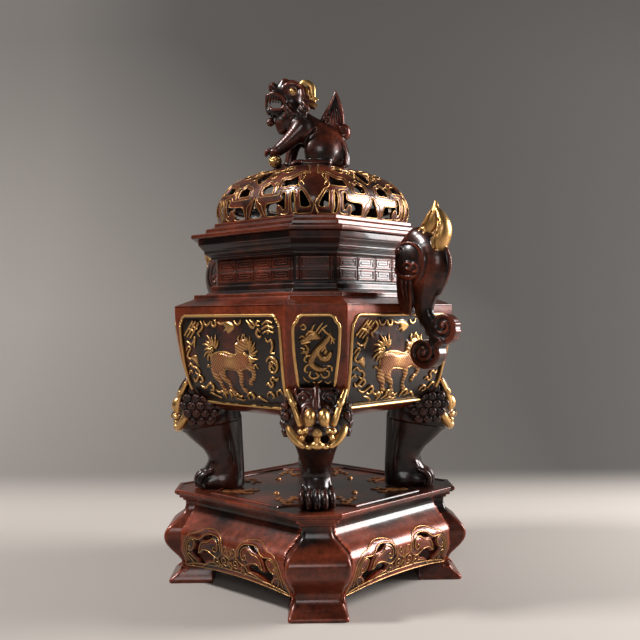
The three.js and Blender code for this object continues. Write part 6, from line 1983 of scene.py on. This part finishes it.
# Heights of the platform's sunk band, of the bead's foot and of the field inside the bead.
BAND_HEIGHT = 83.7
BEAD_HEIGHT = 83.65
FIELD_HEIGHT = 83.55
PLATFORM_RIM = [
    (3.0, 80), (1.7, 80), (1.5, 80.4), (1.5, 80.9), (0.6, 81.3), (0.1, 81.6), (0, 82.0), (0, 84.0),
    (0.2, 84.4), (0.7, 84.6), (3.0, 84.6), (3.6, 84.5), (4.2, 83.9), (4.8, 83.75), (6.0, 83.7),
]


def platform_mesh():
    """Top of the stand as rings around the axis: rim, sunk band, bracket bead and field with clouds."""
    corners = [math.atan2(y, x) for inset in (0, 1.6) for x, y in plate_outline(inset)]
    angles = np.concatenate([np.linspace(-np.pi, np.pi, 600, endpoint=False), corners])
    angles = np.unique(np.round(angles, 5))
    rings = [(star_radius(plate_outline(inset), angles), z) for inset, z in PLATFORM_RIM]
    outer, inner = rings[-1][0], star_radius(field_outline(-2.0), angles)
    rings += [(outer * (1 - share) + inner * share, BAND_HEIGHT) for share in (0.25, 0.5, 0.75, 1.0)]
    bead = 1.6
    rings += [(star_radius(field_outline(shift), angles),
               BEAD_HEIGHT + math.sqrt(max(bead ** 2 - shift ** 2, 0)) * 0.85)
              for shift in np.linspace(-bead, bead, 9)]
    edge = star_radius(field_outline(2.2), angles)
    rings += [(edge * share, FIELD_HEIGHT)
              for share in np.concatenate([np.linspace(1, 0.36, 44), np.linspace(0.33, 0.012, 8)])]
    radii = np.array([radius for radius, _ in rings])
    heights = np.array([height for _, height in rings])[:, None] + 0 * radii
    x, y = radii * np.cos(angles), radii * np.sin(angles)
    clouds = Stencil((40, -1), (96, 42), 0.5)
    for rows in CLOUDS:
        clouds.stroke(rows)
    reach, across = (np.abs(x) + np.abs(y)) / ROOT2, np.abs(np.abs(x) - np.abs(y)) / ROOT2
    cloud = swell(clouds.read(np.clip(reach, 40, 95), np.clip(across, 0, 41)), 1.25, 1.6)
    cloud = np.where((reach > 41) & (reach < 95) & (across < 41) & (heights < 84.2), cloud, 0)
    points = np.stack([x, y, heights + cloud], -1).reshape(-1, 3)
    return points, grid_faces(len(radii), len(angles), around=True), cloud.ravel()


def stud_mesh(x, y):
    """Round-headed stud: a quarter-round profile turned about its own axis."""
    spokes = 28
    profile = [(2.7, 83.5), (2.7, 83.9), (2.45, 84.7), (1.8, 85.3), (0.9, 85.6), (0.05, 85.65)]
    profile = smooth_line(profile, 3)
    angle = np.linspace(0, 2 * np.pi, spokes, endpoint=False)
    points = np.stack([
        x + profile[:, :1] * np.cos(angle), y + profile[:, :1] * np.sin(angle),
        profile[:, 1:] + 0 * angle], -1).reshape(-1, 3)
    return points, grid_faces(len(profile), spokes, around=True)


def apron_wear_and_shade(points, wear_and_shade):
    """Wear of an apron, less inside its arch, with painted shade towards its top under the platform."""
    arch = np.clip(-inside_arch().read(np.abs(points[:, 0]), points[:, 2]) / 1.5, 0, 1)
    wear_and_shade = np.clip(wear_and_shade - 0.12 * arch + 0.1 * (1 - arch), 0, 1)
    # Painted shade: darker from 52 mm up, towards the platform above.
    return np.clip(wear_and_shade - 0.24 * np.clip((points[:, 2] - 52) / 12, 0, 1), 0, 1)


class BURNER_OT_stand(bpy.types.Operator):
    """Footed stand: swelling posts, bowed aprons with gilded scrollwork, and the platform"""
    bl_idname = "burner.stand"
    bl_label = "Stand"

    def execute(self, context):
        brown = carved_material(context, "brown")
        post = post_mesh()
        post_values = cast_values(*post, reach=1.4)
        # Painted shade: the post is made darker in a band about 67 mm up, in its neck under the cap and
        # the platform.
        post_values["wear_and_shade"] = post_values["wear_and_shade"] - 0.3 * np.exp(-((post[0][:, 2] - 67) / 7) ** 2)
        scroll = spiral(121.5, 13.5, 5.0, 0.4, 1.6, 1, 0.15, 22)
        curl = strand([(x, z, 0.95 - 0.02 * k) for k, (x, z) in enumerate(scroll)], post_place, 6)
        curls = bundle([curl, (curl[0] * [1, -1, 1], curl[1][:, ::-1])])
        clay = apron_clay(OPENWORK_CELL * context.scene.burner_carving.cell)
        *apron, apron_values = clay_surface(clay)
        apron_values["wear_and_shade"] = apron_wear_and_shade(apron[0], apron_values["wear_and_shade"])
        wires = bundle([strand(with_radius(line, APRON_GILT_LINE), apron_place, 6)
                        for line in both_sides(APRON_ARCHES + APRON_LINES)])
        for k in range(4):
            corner, side = DIAGONALS[k], QUARTERS[k] + math.pi
            for name, slot, (points, faces), values, angle, node in (
                    ("post_cast", "bronze", post, post_values, corner, "post"),
                    ("scroll", "bronze", curls, cast_values(*curls), corner, None),
                    ("apron_carved", "bronze", apron, apron_values, side, "apron"),
                    ("apron_gilding", "gilt", wires, {"wear_and_shade": 0.52, "gilt": 0.66}, side, None)):
                mesh_piece(f"stand_{name}_{k + 1}", "stand", slot, turned(points, angle), faces, brown,
                           values, stands_for=(f"stand_{node}_{k + 1}",) if node else ())
        points, faces, cloud = platform_mesh()
        values = {"wear_and_shade": np.clip(ring_wear(points, faces, 1.0) - 0.08 + cloud * 0.2, 0, 1),
                  "gilt": np.clip(cloud * 0.5, 0, 0.2)}
        mesh_piece("stand_platform", "stand", "bronze", points, faces, brown, values,
                   stands_for=("stand_top",), sharp=50)
        for k, angle in enumerate(QUARTERS):
            points, faces = stud_mesh(STUD_REACH * math.cos(angle), STUD_REACH * math.sin(angle))
            mesh_piece(f"stand_rivet_{k + 1}", "stand", "gilt", points, faces, brown,
                       {"wear_and_shade": 0.9, "gilt": 0.35}, stands_for=(f"stand_stud_{k + 1}",))
        return {"FINISHED"}


# Finish of the plain solids and the studio

class BURNER_OT_finish(bpy.types.Operator):
    """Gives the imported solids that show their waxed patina"""
    bl_idname = "burner.finish"
    bl_label = "Metal finishes"

    def execute(self, context):
        finish = context.scene.burner_finish
        slots = {part["node"]: part["material_slot"] for part in frame["record"]["subparts"]}
        plain = {
            "bronze": metal_material("plain_brown_patina", finish, 1.0, wear_and_shade=0.6),
            "dark_bronze": metal_material("plain_black_patina", finish, 0.5, wear_and_shade=0.5),
            "gilt": metal_material("plain_worn_patina", finish, 1.6, scale=120.0, wear_and_shade=0.9),
        }
        for name, piece in NODES.items():
            piece.data.materials.clear()
            piece.data.materials.append(plain[slots[name]])
        return {"FINISHED"}


# Directions of the backdrop on the floor, in metres like all of the studio: across it, as the camera's
# right, and away from the camera.
BACKDROP_RIGHT = (0.724, 0.690, 0.0)
BACKDROP_BACK = (-0.690, 0.724, 0.0)

# Soft panels: name, place, where they face, size and watts.
VESSEL_MIDDLE = (0, 0, 0.22)
LIGHTS = [
    ("softbox_right", (0.85, 0.93, 0.62), (0.09, 0, 0.34), (0.52, 0.64), 34),
    ("key_left", (-0.75, -1.05, 1.5), VESSEL_MIDDLE, (0.34, 0.34), 36),
    ("fill_front", (1.3, -1.6, 0.9), VESSEL_MIDDLE, (0.6, 0.6), 8),
    ("wall_glow", (-1.11, -0.43, 0.6), (-1.45, 0.21, 0.1), (0.6, 0.6), 2),
]
AIR_STRENGTH = 0.06

# The camera of the photograph, found from the corners of the stand, belly, neck and lid.
CAMERA_RIGHT = (0.72402138, 0.6897357, -0.00759649)
CAMERA_UP = (0.00314054, 0.00771659, 0.9999653)
CAMERA_BACK = (0.68977038, -0.72402011, 0.00342084)
CAMERA_PLACE = (0.57641, -0.59617, 0.24344)


def backdrop_mesh(name):
    """Sweep of a floor that turns up into a wall behind the object.

    Points lie along the backdrop's right, and back along a path that runs flat, turns up a quarter
    circle and ends in a wall.
    """
    radius, flat, half_width, front, top = 0.7, 0.2, 4.0, -2.5, 3.5
    across = np.linspace(-half_width, half_width, 33)
    near = np.linspace(front, flat, 24)
    bend = np.linspace(0.0, np.pi / 2, 24)[1:]
    away = np.concatenate([near, flat + radius * np.sin(bend), [flat + radius]])
    right, back = np.array(BACKDROP_RIGHT), np.array(BACKDROP_BACK)
    points = across[None, :, None] * right + away[:, None, None] * back
    points[..., 2] = np.concatenate([0 * near, radius * (1 - np.cos(bend)), [top]])[:, None]
    mesh = bpy.data.meshes.new(name)
    mesh.from_pydata(points.reshape(-1, 3).tolist(), [], grid_faces(*points.shape[:2]).tolist())
    mesh.shade_smooth()
    return mesh


def backdrop_paper_painted_shade(pale):
    """Backdrop paper with painted shade: pale on the floor, painted darker up the sweep, most of all to
    the right and at the top.

    share = rise(height) * clamp(side(across) + top(height)), colour = mix(pale, pale / 8, share).
    """
    paper = bpy.data.materials.new("backdrop_paper_painted_shade")
    paper.use_nodes = True
    tree = paper.node_tree
    surface = tree.nodes["Principled BSDF"]
    surface.inputs["Roughness"].default_value = 0.75
    place = tree.nodes.new("ShaderNodeTexCoord")
    split = tree.nodes.new("ShaderNodeSeparateXYZ")
    across = add_node(tree, "ShaderNodeVectorMath", operation="DOT_PRODUCT")
    across.inputs[1].default_value = BACKDROP_RIGHT
    # Painted shade: the sweep darkens up from the floor, more to the right and towards the top.
    rise = add_node(tree, "ShaderNodeMapRange", interpolation_type="SMOOTHSTEP", in_From_Min=0.0,
                    in_From_Max=0.03)
    side = add_node(tree, "ShaderNodeMapRange", in_From_Min=-0.5, in_From_Max=0.35, in_To_Min=0.58,
                    in_To_Max=1.0)
    top = add_node(tree, "ShaderNodeMapRange", in_From_Min=0.25, in_From_Max=0.8, in_To_Max=0.3)
    summed = add_node(tree, "ShaderNodeMath", operation="ADD", use_clamp=True)
    share = add_node(tree, "ShaderNodeMath", operation="MULTIPLY")
    tone = add_node(tree, "ShaderNodeMix", data_type="RGBA")
    tone.inputs["A"].default_value = (*pale, 1)
    tone.inputs["B"].default_value = (*(c / 8 for c in pale), 1)
    wire(tree, (place, "Object", split, "Vector"), (place, "Object", across, 0),
         (split, "Z", rise, "Value"), (split, "Z", top, "Value"), (across, "Value", side, "Value"),
         (side, "Result", summed, 0), (top, "Result", summed, 1), (rise, "Result", share, 0),
         (summed, "Value", share, 1), (share, "Value", tone, "Factor"),
         (tone, "Result", surface, "Base Color"))
    return paper


def area_light(name, place, target, size, watts):
    """Soft panel at a place, facing a target."""
    data = bpy.data.lights.new(name, "AREA")
    data.shape = "RECTANGLE"
    data.size, data.size_y = size
    data.energy = watts
    lamp = bpy.data.objects.new(name, data)
    lamp.location = place
    lamp.rotation_euler = (Vector(target) - Vector(place)).to_track_quat("-Z", "Y").to_euler()
    bpy.context.scene.collection.objects.link(lamp)


class BURNER_OT_stage(bpy.types.Operator):
    """Floor, backdrop, soft lights and the camera at the photograph's angle"""
    bl_idname = "burner.stage"
    bl_label = "Studio"

    def execute(self, context):
        stage = context.scene.burner_stage
        floor = bpy.data.objects.new("backdrop", backdrop_mesh("backdrop"))
        context.scene.collection.objects.link(floor)
        floor.data.materials.append(backdrop_paper_painted_shade(tuple(stage.backdrop)))
        for light in LIGHTS:
            area_light(*light)
        world = bpy.data.worlds.new("studio_air")
        world.use_nodes = True
        air = world.node_tree.nodes["Background"]
        air.inputs["Color"].default_value = (0.5, 0.5, 0.5, 1)
        air.inputs["Strength"].default_value = AIR_STRENGTH
        context.scene.world = world
        lens = bpy.data.cameras.new("photo_camera")
        lens.sensor_width = 36
        lens.lens = stage.lens
        lens.clip_end = 20
        camera = bpy.data.objects.new("photo_camera", lens)
        camera.matrix_world = Matrix(
            [*zip(CAMERA_RIGHT, CAMERA_UP, CAMERA_BACK, CAMERA_PLACE), (0, 0, 0, 1)])
        context.scene.collection.objects.link(camera)
        context.scene.camera = camera
        context.scene.view_settings.view_transform = "Standard"
        return {"FINISHED"}


class BURNER_PT_panel(bpy.types.Panel):
    """Lists the settings and the building steps"""
    bl_label = "Incense burner"
    bl_space_type = "VIEW_3D"
    bl_region_type = "UI"
    bl_category = "Burner"

    def draw(self, context):
        for name in SETTINGS:
            group = getattr(context.scene, name)
            for key in group.__annotations__:
                self.layout.prop(group, key)
        for operator in OPERATORS:
            self.layout.operator(operator.bl_idname)


SETTINGS = {
    "burner_finish": BurnerFinishSettings,
    "burner_carving": BurnerCarvingSettings,
    "burner_stage": BurnerStageSettings,
}
OPERATORS = (
    BURNER_OT_stage, BURNER_OT_finish, BURNER_OT_legs, BURNER_OT_handles, BURNER_OT_lion, BURNER_OT_belly,
    BURNER_OT_neck, BURNER_OT_dome, BURNER_OT_stand,
)


def register():
    for group in SETTINGS.values():
        bpy.utils.register_class(group)
    for name, group in SETTINGS.items():
        setattr(bpy.types.Scene, name, bpy.props.PointerProperty(type=group))
    for operator in OPERATORS:
        bpy.utils.register_class(operator)
    bpy.utils.register_class(BURNER_PT_panel)


def unregister():
    bpy.utils.unregister_class(BURNER_PT_panel)
    for operator in reversed(OPERATORS):
        bpy.utils.unregister_class(operator)
    for name, group in SETTINGS.items():
        delattr(bpy.types.Scene, name)
        bpy.utils.unregister_class(group)


def main():
    """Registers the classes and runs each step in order."""
    register()
    for operator in OPERATORS:
        getattr(bpy.ops.burner, operator.bl_idname.split(".")[1])()


if __name__ == "__main__":
    main()
